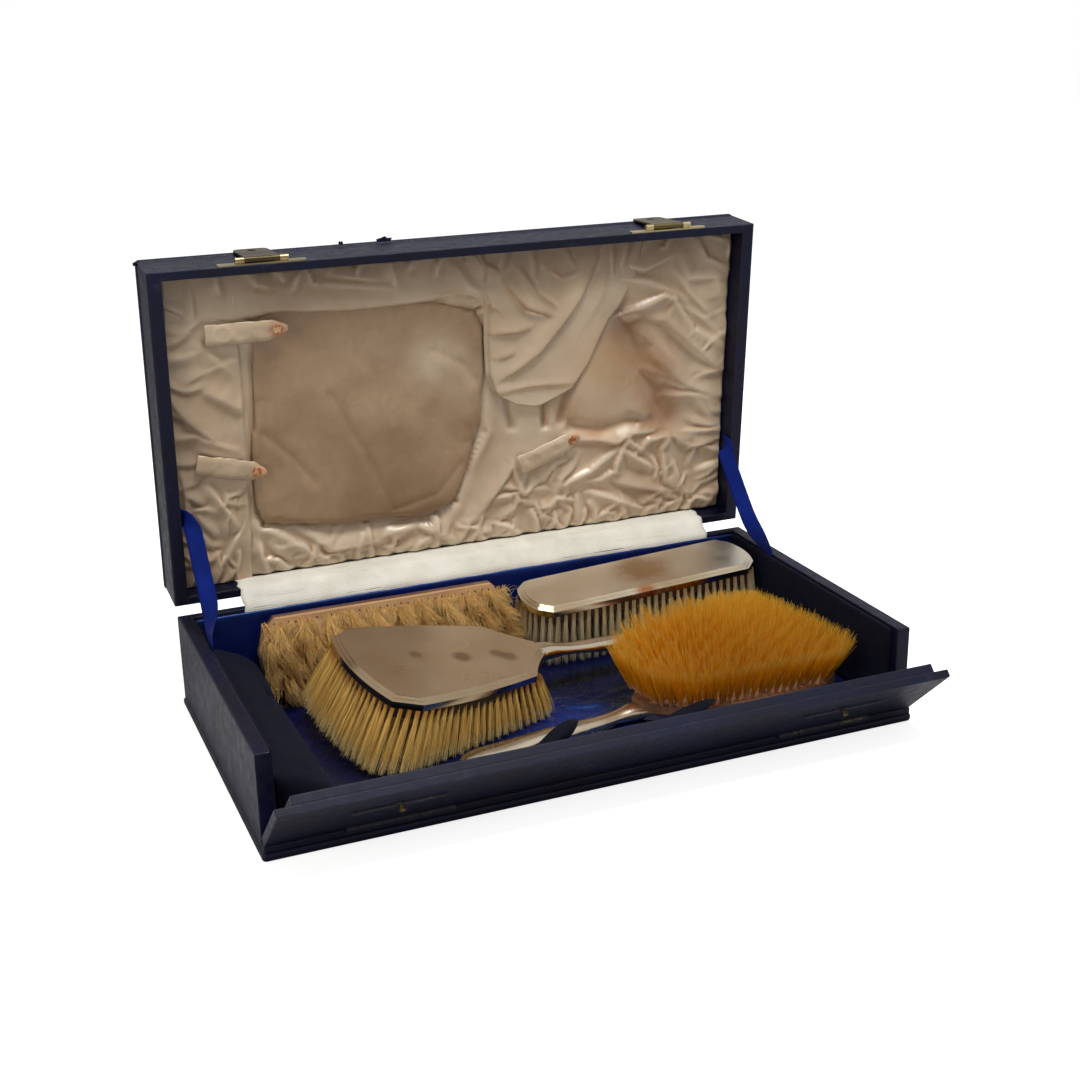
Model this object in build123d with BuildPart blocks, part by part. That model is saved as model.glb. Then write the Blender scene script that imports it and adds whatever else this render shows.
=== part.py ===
from build123d import *
from math import cos, sin, radians, sqrt, pi
import os

# A cased brush set: a shallow covered box with a hinged lid and a fall front,
# holding two hand hairbrushes and two clothes brushes. Millimetres, +Z up,
# origin on the table under the middle of the tray, front towards -Y.

os.makedirs("parts", exist_ok=True)

# Case
case_length = 380.0
wall_height = 57.0
side_wall = 8.0
end_wall = 5.0
board = 5.0
overhang = 1.2
back_y = 98.4
front_y = -102.0
fall_outer = 4.6
fall_inner = 5.0
liner = 2.0
floor_pad_height = 2.0
edge_round = 1.0

# Hinge line of the lid, and how far it stands open at rest
lid_hinge_out = 4.0
rim_gap = 1.2
lid_open = 86.3
lid_wall_height = 28.0

# Hinge line of the fall front, and how far it leans out at rest
fall_hinge_z = 8.6
fall_open = 46.0

# Loose fits
gap = 0.2
pin_play = 0.05

# Derived lines of the case
half = case_length / 2
inner_x = half - side_wall
liner_x = inner_x - liner
inner_back = back_y - end_wall
floor_z = board + floor_pad_height
wall_front = front_y + fall_outer + gap
tray_front = front_y + fall_outer + fall_inner
sill_top = fall_hinge_z - 0.3
lid_hinge_y = back_y + lid_hinge_out
lid_hinge_z = wall_height + rim_gap / 2
lid_rim = rim_gap / 2
lid_top = lid_rim + lid_wall_height
lid_back = -lid_hinge_out
lid_front = front_y - lid_hinge_y

# The lid is drawn shut about its hinge line, on a frame that stands open.
lid_frame = Plane(
    origin=(0, lid_hinge_y, lid_hinge_z),
    x_dir=(1, 0, 0),
    z_dir=(0, sin(radians(lid_open)), cos(radians(lid_open))),
)
# The fall front is drawn shut about its hinge line, on a frame that leans out.
fall_frame = Plane(
    origin=(0, front_y, fall_hinge_z),
    x_dir=(1, 0, 0),
    z_dir=(0, -sin(radians(fall_open)), cos(radians(fall_open))),
)


def shift(frame, x=0.0, y=0.0, z=0.0):
    """The same directions with the origin moved in the frame's own terms."""
    return Plane(origin=frame.from_local_coords((x, y, z)), x_dir=frame.x_dir, z_dir=frame.z_dir)


def along_x(frame, x=0.0, y=0.0, z=0.0):
    """A plane across the frame's X: its own axes are the frame's Y and Z."""
    return Plane(origin=frame.from_local_coords((x, y, z)), x_dir=frame.y_dir, z_dir=frame.x_dir)


def along_y(frame, x=0.0, y=0.0, z=0.0):
    """A plane across the frame's -Y: its own axes are the frame's X and Z."""
    return Plane(origin=frame.from_local_coords((x, y, z)), x_dir=frame.x_dir, z_dir=-frame.y_dir)


def keep(shape, name):
    shape.label = name
    export_step(shape, "parts/" + name + ".step")
    print(name, round(shape.volume, 1))


def slab(frame, low, high):
    """A plain board between two corners of the frame."""
    with BuildPart() as part:
        with BuildSketch(frame.offset(low[2])):
            with Locations(((low[0] + high[0]) / 2, (low[1] + high[1]) / 2)):
                Rectangle(high[0] - low[0], high[1] - low[1])
        extrude(amount=high[2] - low[2])
    return part


def covered_board(frame, low, high, size):
    """A covered board with softened edges all round."""
    with BuildPart() as part:
        with BuildSketch(frame.offset(low[2])):
            with Locations(((low[0] + high[0]) / 2, (low[1] + high[1]) / 2)):
                RectangleRounded(high[0] - low[0], high[1] - low[1], 2.4)
        extrude(amount=high[2] - low[2])
        faces = part.faces().group_by(lambda f: f.center().dot(frame.z_dir))
        fillet((faces[-1] + faces[0]).edges(), size)
    return part


# Hinge sizes
lid_hinge_at = 110.0
lid_hinge_knuckle = 10.0
lid_hinge_radius = 2.2
lid_hinge_pin = 0.9
lid_leaf = 0.9
lid_leaf_reach = 4.0
fall_hinge_at = (-119.0, 131.0)
fall_knuckle = 6.5
fall_hinge_radius = 1.8
fall_hinge_pin = 0.7
fall_leaf = 0.8
fall_leaf_reach = 7.0
barrel_room = 0.3


def knuckles(frame, centre, pitch, count, first, radius, bore):
    """Every second knuckle of a barrel that runs along the frame's X through its origin."""
    start = centre - pitch * count / 2
    with BuildPart() as part:
        for index in range(first, count, 2):
            with BuildSketch(along_x(frame, start + index * pitch + gap / 2)):
                Circle(radius)
                Circle(bore, mode=Mode.SUBTRACT)
            extrude(amount=pitch - gap)
    return part.part


def leaf(frame, centre, pitch, count, first, radius, bore, low, high, reach):
    """A hinge leaf: a strip from the reach line to the barrel, with its own knuckles.

    low and high are the strip's faces above the hinge line, reach its far edge in Y."""
    length = pitch * count
    clear = radius + barrel_room
    inward = 1 if reach > 0 else -1
    near = inward * sqrt(clear ** 2 - min(abs(low), abs(high)) ** 2)
    own = knuckles(frame, centre, pitch, count, first, radius, bore)
    with BuildPart() as part:
        with BuildSketch(frame.offset(low)):
            with Locations((centre, (near + reach) / 2)):
                Rectangle(length - gap, abs(reach - near))
            for index in range(first, count, 2):
                with Locations((centre - length / 2 + (index + 0.5) * pitch, near * 0.85)):
                    Rectangle(pitch - gap, abs(near) * 0.6)
        extrude(amount=high - low)
        with BuildSketch(along_x(frame, centre - length / 2)):
            Circle(bore + 0.01)
        extrude(amount=length, mode=Mode.SUBTRACT)
        add(own)
    return part.part


def pin(frame, centre, length, radius):
    with BuildPart() as part:
        with BuildSketch(along_x(frame, centre - length / 2)):
            Circle(radius)
        extrude(amount=length)
    return part.part


def make_case_base():
    """The tray: base board, walls and the low sill that carries the fall front."""
    base = covered_board(
        Plane.XY,
        (-half - overhang, front_y - overhang, 0),
        (half + overhang, back_y + overhang, board),
        2.0,
    )
    keep(base.part, "base_board")

    with BuildPart() as sill:
        with BuildSketch(Plane.XY.offset(board)):
            with Locations((0, (front_y + tray_front) / 2)):
                Rectangle(2 * half, tray_front - front_y)
            for side in (-1, 1):
                with Locations((side * (half + inner_x) / 2, (wall_front + tray_front) / 2)):
                    Rectangle(side_wall, tray_front - wall_front, mode=Mode.SUBTRACT)
        extrude(amount=sill_top - board)
        for centre in fall_hinge_at:
            length = 9 * fall_knuckle
            hinge_line = Plane(origin=(0, front_y, fall_hinge_z), x_dir=(1, 0, 0), z_dir=(0, 0, 1))
            with BuildSketch(along_x(hinge_line, centre - length / 2 - gap)):
                Circle(fall_hinge_radius + barrel_room)
            extrude(amount=length + 2 * gap, mode=Mode.SUBTRACT)
            with BuildSketch(Plane.XY.offset(sill_top - fall_leaf)):
                with Locations((centre, front_y + fall_leaf_reach / 2)):
                    Rectangle(length, fall_leaf_reach)
            extrude(amount=fall_leaf, mode=Mode.SUBTRACT)
    keep(sill.part, "front_sill")

    for name, side in (("left_wall", -1), ("right_wall", 1)):
        with BuildPart() as wall:
            with BuildSketch(Plane.XY.offset(board)):
                with Locations((side * (half + inner_x) / 2, (wall_front + back_y) / 2)):
                    Rectangle(side_wall, back_y - wall_front)
            extrude(amount=wall_height - board)
            top = wall.faces().sort_by(Axis.Z)[-1]
            outer = top.edges().filter_by(Axis.Y).sort_by(lambda e: side * e.center().X)[-1]
            fillet(outer, edge_round)
        keep(wall.part, name)

    with BuildPart() as back:
        with BuildSketch(Plane.XY.offset(board)):
            with Locations((0, (back_y + inner_back) / 2)):
                Rectangle(2 * inner_x, end_wall)
        extrude(amount=wall_height - board)
        for side in (-1, 1):
            with BuildSketch(Plane.XY.offset(wall_height - lid_leaf)):
                with Locations((side * lid_hinge_at, back_y - lid_leaf_reach / 2)):
                    Rectangle(5 * lid_hinge_knuckle, lid_leaf_reach)
            extrude(amount=lid_leaf, mode=Mode.SUBTRACT)
    keep(back.part, "back_wall")


# Tray lining
liner_drop = 1.6
ribbon_width = 10.0
ribbon_thick = 0.4
ribbon_reach = 58.0
ribbon_x = inner_x - 0.2 - ribbon_thick
ribbon_tuck = 11.0
slot_depth = 0.8
bolster_width = 32.0
bolster_edge_z = 27.0
bolster_wall_z = 40.0


def make_tray_lining():
    """Floor pad, liners, the stuffed roll at the left end and the two handle rests."""
    pad = slab(
        Plane.XY,
        (-inner_x + 0.1, tray_front + gap, board),
        (inner_x - 0.1, inner_back - 0.1, floor_z),
    )
    keep(pad.part, "floor_pad")

    top = wall_height - liner_drop
    for name, side in (("left_liner", -1), ("right_liner", 1)):
        with BuildPart() as side_liner:
            with BuildSketch(Plane.XY.offset(floor_z)):
                with Locations((side * (inner_x + liner_x) / 2, (tray_front + 1 + inner_back - liner) / 2)):
                    Rectangle(liner, inner_back - liner - tray_front - 1)
            extrude(amount=top - floor_z)
            with BuildSketch(Plane.XY.offset(top)):
                with Locations((side * (inner_x - slot_depth / 2), lid_hinge_y - ribbon_reach)):
                    Rectangle(slot_depth, ribbon_width + 4)
            extrude(amount=-(ribbon_tuck + 3), mode=Mode.SUBTRACT)
        keep(side_liner.part, name)

    back = slab(
        Plane.XY,
        (-inner_x, inner_back - liner, floor_z),
        (inner_x, inner_back, wall_height - 2),
    )
    keep(back.part, "back_liner")

    # The roll is highest at the wall and rounds down to the floor.
    left = -liner_x
    right = left + bolster_width
    with BuildPart() as roll:
        with BuildSketch(along_y(Plane.XY, 0, inner_back - liner - 0.3, 0)):
            with BuildLine():
                Line((left, floor_z), (right, floor_z))
                ThreePointArc((right, floor_z), (right + 2.2, floor_z + 9), (right - 3, bolster_edge_z))
                ThreePointArc((right - 3, bolster_edge_z), (right - 15, bolster_wall_z - 6), (left, bolster_wall_z))
                Line((left, bolster_wall_z), (left, floor_z))
            make_face()
        extrude(amount=inner_back - liner - 0.3 - tray_front - 1)
        with BuildSketch(Plane.XY.offset(bolster_wall_z)):
            with Locations((right, 30)):
                Circle(7)
        extrude(amount=-(bolster_wall_z - floor_z), mode=Mode.SUBTRACT)
    keep(roll.part, "left_bolster")

    for name, x, y, width, deep, height in (
        ("handle_rest_left", -14, -77, 16, 13, 28),
        ("handle_rest_right", 47, -83, 17, 12, 27),
    ):
        with BuildPart() as rest:
            with BuildSketch(Plane.XY.offset(floor_z)):
                with Locations((x, y)):
                    RectangleRounded(width, deep, 3)
            with BuildSketch(Plane.XY.offset(height - 4)):
                with Locations((x + 1, y + 0.6)):
                    RectangleRounded(width - 1, deep - 1.5, 3)
            loft()
            with BuildSketch(Plane.XY.offset(height - 4)):
                with Locations((x + 1, y + 0.6)):
                    RectangleRounded(width - 1, deep - 1.5, 3)
            with BuildSketch(Plane.XY.offset(height)):
                with Locations((x + 2, y + 1)):
                    RectangleRounded(width - 6, deep - 6, 2)
            loft()
        keep(rest.part, name)


def lid_point(y, z):
    """World Y and Z of a point drawn on the shut lid."""
    point = lid_frame.from_local_coords((0, y, z))
    return point.Y, point.Z


def strip(points, thick):
    """Outline of a thin strip that follows a bent line."""
    upper, lower = [], []
    for index, point in enumerate(points):
        before = points[max(index - 1, 0)]
        after = points[min(index + 1, len(points) - 1)]
        a = (point[0] - before[0], point[1] - before[1]) if index else None
        b = (after[0] - point[0], after[1] - point[1]) if index < len(points) - 1 else None
        a = a or b
        b = b or a
        la, lb = sqrt(a[0] ** 2 + a[1] ** 2), sqrt(b[0] ** 2 + b[1] ** 2)
        na, nb = (-a[1] / la, a[0] / la), (-b[1] / lb, b[0] / lb)
        m = (na[0] + nb[0], na[1] + nb[1])
        scale = thick / (m[0] * na[0] + m[1] * na[1]) / 2
        upper.append((point[0] + m[0] * scale, point[1] + m[1] * scale))
        lower.append((point[0] - m[0] * scale, point[1] - m[1] * scale))
    return upper + lower[::-1]


cover_left = -151.0
cover_right = 162.0
cover_thick = 0.5


def make_soft_ties():
    """The cloth strip over the lid hinge and the two ribbons that hold the lid."""
    clear = cover_thick / 2 + 0.12
    route = [
        (inner_back - clear, wall_height - 1.8),
        (inner_back - clear, wall_height + 0.2),
        lid_point(lid_back - end_wall - clear, lid_rim),
        lid_point(lid_back - end_wall - clear, lid_rim + 13),
    ]
    with BuildPart() as cover:
        with BuildSketch(along_x(Plane.XY, cover_left)):
            with BuildLine():
                Polyline(*strip(route, cover_thick), close=True)
            make_face()
        extrude(amount=cover_right - cover_left)
    keep(cover.part, "hinge_cover")

    low = (lid_hinge_y - ribbon_reach, wall_height + 0.5)
    high = lid_point(-ribbon_reach, lid_rim - 0.5)
    base_end = (low[0], wall_height - liner_drop - ribbon_tuck)
    lid_end = lid_point(-ribbon_reach, lid_rim + 9)
    for name, x in (("left_ribbon", -ribbon_x - ribbon_thick), ("right_ribbon", ribbon_x)):
        with BuildPart() as ribbon:
            with BuildSketch(along_x(Plane.XY, x)):
                with BuildLine():
                    Polyline(*strip([base_end, low, high, lid_end], ribbon_width), close=True)
                make_face()
            extrude(amount=ribbon_thick)
        keep(ribbon.part, name)


def make_lid_hinges():
    """Two five-knuckle hinges behind the back edge, let into both rims."""
    base_line = Plane(origin=(0, lid_hinge_y, lid_hinge_z), x_dir=(1, 0, 0), z_dir=(0, 0, 1))
    length = 5 * lid_hinge_knuckle
    sides = (-lid_hinge_at, lid_hinge_at)
    low = wall_height - lid_leaf - lid_hinge_z
    reach = -lid_hinge_out - lid_leaf_reach
    fixed = [
        leaf(base_line, x, lid_hinge_knuckle, 5, 0, lid_hinge_radius, lid_hinge_pin, low, low + lid_leaf, reach)
        for x in sides
    ]
    keep(Compound(children=fixed), "lid_hinge_base_leaves")
    moving = [
        leaf(
            lid_frame, x, lid_hinge_knuckle, 5, 1, lid_hinge_radius, lid_hinge_pin + pin_play,
            lid_rim, lid_rim + lid_leaf, reach,
        )
        for x in sides
    ]
    keep(Compound(children=moving), "lid_hinge_lid_leaves")
    pins = [pin(base_line, x, length - gap, lid_hinge_pin) for x in sides]
    keep(Compound(children=pins), "lid_hinge_pins")


def make_fall_hinges():
    """Two nine-knuckle hinges along the outer bottom edge of the fall front."""
    base_line = Plane(origin=(0, front_y, fall_hinge_z), x_dir=(1, 0, 0), z_dir=(0, 0, 1))
    low = sill_top - fall_leaf - fall_hinge_z
    fixed = [
        leaf(
            base_line, x, fall_knuckle, 9, 0, fall_hinge_radius, fall_hinge_pin,
            low, low + fall_leaf, fall_leaf_reach,
        )
        for x in fall_hinge_at
    ]
    keep(Compound(children=fixed), "fall_hinge_base_leaves")
    moving = [
        leaf(
            fall_frame, x, fall_knuckle, 9, 1, fall_hinge_radius, fall_hinge_pin + pin_play,
            0.3, 0.3 + fall_leaf, fall_leaf_reach,
        )
        for x in fall_hinge_at
    ]
    keep(Compound(children=moving), "fall_hinge_leaves")
    pins = [pin(base_line, x, 9 * fall_knuckle - gap, fall_hinge_pin) for x in fall_hinge_at]
    keep(Compound(children=pins), "fall_hinge_pins")


# Hasps on the lid and keepers on the fall front
hasp_at = (-125.0, 130.0)
hasp_rise = 3.2
hasp_radius = 1.6
hasp_pin = 0.7
hasp_plate_length = 51.0
hasp_plate_height = 4.4
hasp_plate_thick = 0.9
hasp_out = hasp_plate_thick + hasp_radius + 0.15
tongue_width = 20.0
tongue_length = 31.6
tongue_thick = 1.0
tongue_turn = 184.7
tongue_hole = 2.6
ear = 5.0
keeper_drop = 19.4
keeper_thick = 0.8
keeper_height = 3.5
stud_radius = 1.3
stud_head = 1.9


def make_fall_front():
    """The fall front: an outer panel of full width and an inset inner panel."""
    top = wall_height - 0.1 - fall_hinge_z
    bottom = 0.3
    with BuildPart() as outer:
        with BuildSketch(shift(fall_frame, 0, 0, bottom)):
            with Locations((0, fall_outer / 2)):
                Rectangle(2 * half, fall_outer)
        extrude(amount=top - bottom)
        ends = outer.faces().filter_by(Axis.X)
        upright = ends.edges().filter_by(lambda e: abs(e.tangent_at(0.5).dot(fall_frame.z_dir)) > 0.99)
        front = upright.group_by(lambda e: e.center().dot(fall_frame.y_dir))[0]
        fillet(front, edge_round)
        for centre in fall_hinge_at:
            length = 9 * fall_knuckle
            with BuildSketch(along_x(fall_frame, centre - length / 2 - gap)):
                Circle(fall_hinge_radius + barrel_room)
            extrude(amount=length + 2 * gap, mode=Mode.SUBTRACT)
            with BuildSketch(shift(fall_frame, centre, fall_leaf_reach / 2, bottom)):
                Rectangle(length, fall_leaf_reach)
            extrude(amount=fall_leaf, mode=Mode.SUBTRACT)
    keep(outer.part, "fall_panel")

    with BuildPart() as inner:
        with BuildSketch(shift(fall_frame, 0, fall_outer + fall_inner / 2, bottom)):
            Rectangle(2 * (inner_x - 0.8), fall_inner)
        extrude(amount=top - bottom)
        for centre in fall_hinge_at:
            with BuildSketch(shift(fall_frame, centre, fall_leaf_reach / 2, bottom)):
                Rectangle(9 * fall_knuckle, fall_leaf_reach)
            extrude(amount=fall_leaf, mode=Mode.SUBTRACT)
    keep(inner.part, "fall_inner_panel")

    plates, studs, tacks = [], [], []
    stud_z = wall_height - keeper_drop - fall_hinge_z
    for centre in hasp_at:
        with BuildPart() as plate:
            with BuildSketch(along_y(fall_frame, centre, 0, stud_z)):
                SlotOverall(hasp_plate_length - 1, keeper_height)
                Circle(2.6)
                Circle(stud_radius, mode=Mode.SUBTRACT)
                with Locations((-22, 0), (22, 0)):
                    Circle(0.6, mode=Mode.SUBTRACT)
            extrude(amount=keeper_thick)
        plates.append(plate.part)
        with BuildPart() as stud:
            with BuildSketch(along_y(fall_frame, centre, 0, stud_z)):
                Circle(stud_radius)
            extrude(amount=3.1)
            with BuildSketch(along_y(fall_frame, centre, -3.1, stud_z)):
                Circle(stud_head)
            extrude(amount=0.7)
            with BuildSketch(along_y(fall_frame, centre, -3.8, stud_z)):
                Circle(stud_head)
            extrude(amount=0.6, taper=50)
        studs.append(stud.part)
        for side in (-22, 22):
            with BuildPart() as tack:
                with BuildSketch(along_y(fall_frame, centre + side, 0, stud_z)):
                    Circle(0.6)
                extrude(amount=keeper_thick)
                with BuildSketch(along_y(fall_frame, centre + side, -keeper_thick, stud_z)):
                    Circle(1.2)
                extrude(amount=0.6, taper=25)
            tacks.append(tack.part)
    keep(Compound(children=plates), "keeper_plates")
    keep(Compound(children=studs), "keeper_studs")
    keep(Compound(children=tacks), "keeper_tacks")


def make_hasps():
    """Hinged tongues on the lid's front wall, thrown back against the lid's edge."""
    hinge_y = lid_front - hasp_out
    plates, pins = [], []
    for side, centre in zip(("left", "right"), hasp_at):
        line = shift(lid_frame, 0, hinge_y, hasp_rise)
        with BuildPart() as plate:
            with BuildSketch(along_y(lid_frame, centre, lid_front, hasp_rise)):
                RectangleRounded(hasp_plate_length, hasp_plate_height, 1)
            extrude(amount=hasp_plate_thick)
            for end in (-1, 1):
                middle = centre + end * (tongue_width / 2 + gap + ear / 2)
                with BuildSketch(along_x(line, middle - ear / 2)):
                    Circle(hasp_radius)
                    with Locations(((hasp_radius + 0.15) / 2, 0)):
                        Rectangle(hasp_radius + 0.15, 2.4)
                    Circle(hasp_pin, mode=Mode.SUBTRACT)
                extrude(amount=ear)
        plates.append(plate.part)
        pins.append(pin(line, centre, tongue_width + 2 * gap + 2 * ear, hasp_pin))

        # Hanging, the tongue points down the front; thrown back it has turned over.
        turn = radians(tongue_turn)
        outward, up = -lid_frame.y_dir, lid_frame.z_dir
        down = outward * sin(turn) - up * cos(turn)
        face = outward * cos(turn) + up * sin(turn)
        tongue_frame = Plane(origin=line.origin + line.x_dir * centre, x_dir=down, z_dir=face)
        with BuildPart() as tongue:
            with BuildSketch(tongue_frame.offset(-hasp_radius)):
                with Locations((tongue_length / 2 - 4.5, 0)):
                    Rectangle(tongue_length - 9, tongue_width)
                with Locations((tongue_length - 10, 0)):
                    RectangleRounded(20, tongue_width, 4)
                with Locations((keeper_drop + hasp_rise + rim_gap, 0)):
                    Circle(tongue_hole, mode=Mode.SUBTRACT)
            extrude(amount=tongue_thick)
            across = Plane(origin=tongue_frame.origin, x_dir=tongue_frame.x_dir, z_dir=-tongue_frame.y_dir)
            with BuildSketch(across.offset(-tongue_width / 2)):
                Circle(hasp_radius)
            extrude(amount=tongue_width)
            with BuildSketch(across.offset(-6)):
                with Locations((tongue_length - 0.5, 0.7 - hasp_radius + tongue_thick)):
                    Rectangle(1.0, 2.2)
            extrude(amount=12)
            with BuildSketch(across.offset(-tongue_width)):
                Circle(hasp_pin + pin_play)
            extrude(amount=2 * tongue_width, mode=Mode.SUBTRACT)
        keep(tongue.part, "hasp_tongue_" + side)
    keep(Compound(children=plates), "hasp_plates")
    keep(Compound(children=pins), "hasp_pins")


lid_overhang = 0.8


def make_lid():
    """The lid: a board over four walls, drawn shut on the open frame."""
    top = covered_board(
        lid_frame,
        (-half - lid_overhang, lid_front - lid_overhang, lid_top),
        (half + lid_overhang, lid_back + overhang, lid_top + board),
        2.0,
    )
    keep(top.part, "lid_board")
    for name, side in (("lid_left_wall", -1), ("lid_right_wall", 1)):
        with BuildPart() as wall:
            with BuildSketch(lid_frame.offset(lid_rim)):
                with Locations((side * (half + inner_x) / 2, (lid_front + lid_back) / 2)):
                    Rectangle(side_wall, lid_back - lid_front)
            extrude(amount=lid_top - lid_rim)
            rim = wall.faces().group_by(lambda f: f.center().dot(lid_frame.z_dir))[0]
            along = rim.edges().filter_by(lambda e: abs(e.tangent_at(0.5).X) < 0.01)
            fillet(along.sort_by(lambda e: side * e.center().X)[-1], edge_round)
        keep(wall.part, name)
    front = slab(lid_frame, (-inner_x, lid_front, lid_rim), (inner_x, lid_front + end_wall, lid_top))
    keep(front.part, "lid_front_wall")
    with BuildPart() as back:
        with BuildSketch(lid_frame.offset(lid_rim)):
            with Locations((0, lid_back - end_wall / 2)):
                Rectangle(2 * inner_x, end_wall)
        extrude(amount=lid_top - lid_rim)
        for side in (-1, 1):
            with BuildSketch(lid_frame.offset(lid_rim)):
                with Locations((side * lid_hinge_at, lid_back - lid_leaf_reach / 2)):
                    Rectangle(5 * lid_hinge_knuckle, lid_leaf_reach)
            extrude(amount=lid_leaf, mode=Mode.SUBTRACT)
    keep(back.part, "lid_back_wall")


# Satin lining of the lid
satin_back = 19.0
satin_low = lid_back - end_wall - 1.0
satin_high = lid_front + end_wall + 1.0
satin_x = inner_x - 0.5
mirror_left = -137.0
mirror_right = 18.0
mirror_low = -32.0
mirror_high = -186.0
ruche_y = -29.0
drape_y = -92.0
pouch_x = 88.0


def fold_face(plane, low, high, count, valley, lean):
    """The cross-section of a gathered band: arcs over the folds, flat behind."""
    with BuildSketch(plane) as section:
        with BuildLine():
            step = (high - low) / count
            depth = min(0.32 * abs(step), 5.4)
            last = (low, valley)
            for index in range(count):
                start = low + index * step
                crest = valley - depth * (1 + 0.18 * sin(index * 2.3 + lean * 3))
                middle = start + step * (0.5 + lean * 0.12 * sin(index * 1.7 + 1))
                end = (start + step, valley)
                ThreePointArc(last, (middle, crest), end)
                last = end
            Polyline(last, (high, satin_back), (low, satin_back), (low, valley))
        make_face()
    return section.sketch


def gathered(name, x_low, x_high, y_low, y_high, count, valley):
    """Soft folds that run along the lid's Y and shift a little from end to end."""
    with BuildPart() as cloth:
        near = fold_face(along_y(lid_frame, 0, y_low, 0), x_low, x_high, count, valley, -1)
        far = fold_face(along_y(lid_frame, 0, y_high, 0), x_low, x_high, count, valley - 0.6, 1)
        loft([near, far], ruled=True)
    keep(cloth.part, name)


def gathered_across(name, x_low, x_high, y_low, y_high, count, valley):
    """Soft folds that run along X."""
    with BuildPart() as cloth:
        near = fold_face(along_x(lid_frame, x_low, 0, 0), y_low, y_high, count, valley, -1)
        far = fold_face(along_x(lid_frame, x_high, 0, 0), y_low, y_high, count, valley - 0.6, 1)
        loft([near, far], ruled=True)
    keep(cloth.part, name)


def make_lid_lining():
    """Padding, the mirror's pad, the gathered satin round it and three stud tabs."""
    backing = slab(lid_frame, (-satin_x, satin_high, satin_back), (satin_x, satin_low, lid_top))
    keep(backing.part, "lid_lining")

    with BuildPart() as pad:
        with BuildSketch(lid_frame.offset(satin_back)):
            with BuildLine():
                Line((mirror_left + 9, mirror_low), (mirror_right - 40, mirror_low))
                ThreePointArc(
                    (mirror_right - 40, mirror_low),
                    (mirror_right - 14, mirror_low - 20),
                    (mirror_right, mirror_low - 58),
                )
                Line((mirror_right, mirror_low - 58), (mirror_right, mirror_high + 34))
                ThreePointArc(
                    (mirror_right, mirror_high + 34),
                    (mirror_right - 8, mirror_high + 14),
                    (mirror_right - 32, mirror_high + 5),
                )
                ThreePointArc(
                    (mirror_right - 32, mirror_high + 5),
                    (mirror_left + 60, mirror_high),
                    (mirror_left + 14, mirror_high + 9),
                )
                Line((mirror_left + 14, mirror_high + 9), (mirror_left, mirror_low - 44))
                ThreePointArc(
                    (mirror_left, mirror_low - 44),
                    (mirror_left + 2.2, mirror_low - 14),
                    (mirror_left + 9, mirror_low),
                )
            make_face()
        extrude(amount=-1.2)
        crown = pad.faces().group_by(lambda f: f.center().dot(lid_frame.z_dir))[0]
        extrude(to_extrude=crown[0], amount=1.4, taper=50)
    keep(pad.part, "mirror_pad")

    gathered("left_gather", -satin_x, mirror_left - 1, satin_low, satin_high, 3, 16.0)
    gathered("lower_gather", mirror_left, satin_x, satin_low, ruche_y + 1, 19, 16.0)
    gathered("right_gather", mirror_right + 2, satin_x, ruche_y, drape_y + 1, 12, 16.0)
    gathered_across("pouch_fold", mirror_right + 2, pouch_x, satin_high, drape_y, 4, 15.5)
    gathered("right_drape", pouch_x + 1, satin_x, drape_y, satin_high, 6, 17.0)

    # Tabs lie on the crests of the folds, each with a press stud near its tip.
    tab_front, tab_thick = 8.4, 0.9
    studs = []
    for name, x, y, length, turn in (
        ("stud_tab_upper", -136, -164, 50, 0),
        ("stud_tab_lower", -150, -83, 44, 14),
        ("stud_tab_right", 54, -67, 46, -20),
    ):
        flat = shift(lid_frame, x, y, tab_front)
        turned = Plane(
            origin=flat.origin,
            x_dir=flat.x_dir * cos(radians(turn)) + flat.y_dir * sin(radians(turn)),
            z_dir=flat.z_dir,
        )
        with BuildPart() as tab:
            with BuildSketch(turned):
                Rectangle(length - 10, 15)
                with Locations((length / 2 - 9, 0)):
                    Trapezoid(15, 12, 70, rotation=-90)
                with Locations((length / 2 - 6, 0)):
                    Circle(0.9, mode=Mode.SUBTRACT)
            extrude(amount=tab_thick)
        keep(tab.part, name)
        with BuildPart() as stud:
            with BuildSketch(shift(turned, length / 2 - 6, 0, 0)):
                Circle(0.9)
            extrude(amount=tab_thick)
            with BuildSketch(shift(turned, length / 2 - 6, 0, 0)):
                Circle(3.0)
            extrude(amount=-0.9, taper=20)
        studs.append(stud.part)
    keep(Compound(children=studs), "tab_studs")


def pose(x, y, z, yaw, pitch, roll):
    """A brush's own frame: X along it towards the handle, Z out of its metal back."""
    w, p, r = radians(yaw), radians(pitch), radians(roll)
    return Plane(
        origin=(x, y, z),
        x_dir=(cos(p) * cos(w), cos(p) * sin(w), -sin(p)),
        z_dir=(
            cos(r) * sin(p) * cos(w) + sin(r) * sin(w),
            cos(r) * sin(p) * sin(w) - sin(r) * cos(w),
            cos(r) * cos(p),
        ),
    )


# Hairbrushes
head_length = 119.0
head_end_half = 38.0
head_cant = 15.0
head_half = 46.0
head_shoulder = 97.0
head_shoulder_half = 31.0
head_bow = 6.0
neck_half = 6.0
handle_length = 116.0
handle_half = 8.5
handle_thick = 9.0
rim_step = 1.2
rim_inset = 1.9
shell_depth = 6.0
skin = 0.8
wood_depth = 6.0
slice_depth = 0.6
hair_length = 30.0

# Clothes brushes
clothes_length = 160.0
clothes_half = 23.0
clothes_cant = 8.0
clothes_bow = 3.0
clothes_hair = 28.0
clothes_wood = 5.4

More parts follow.
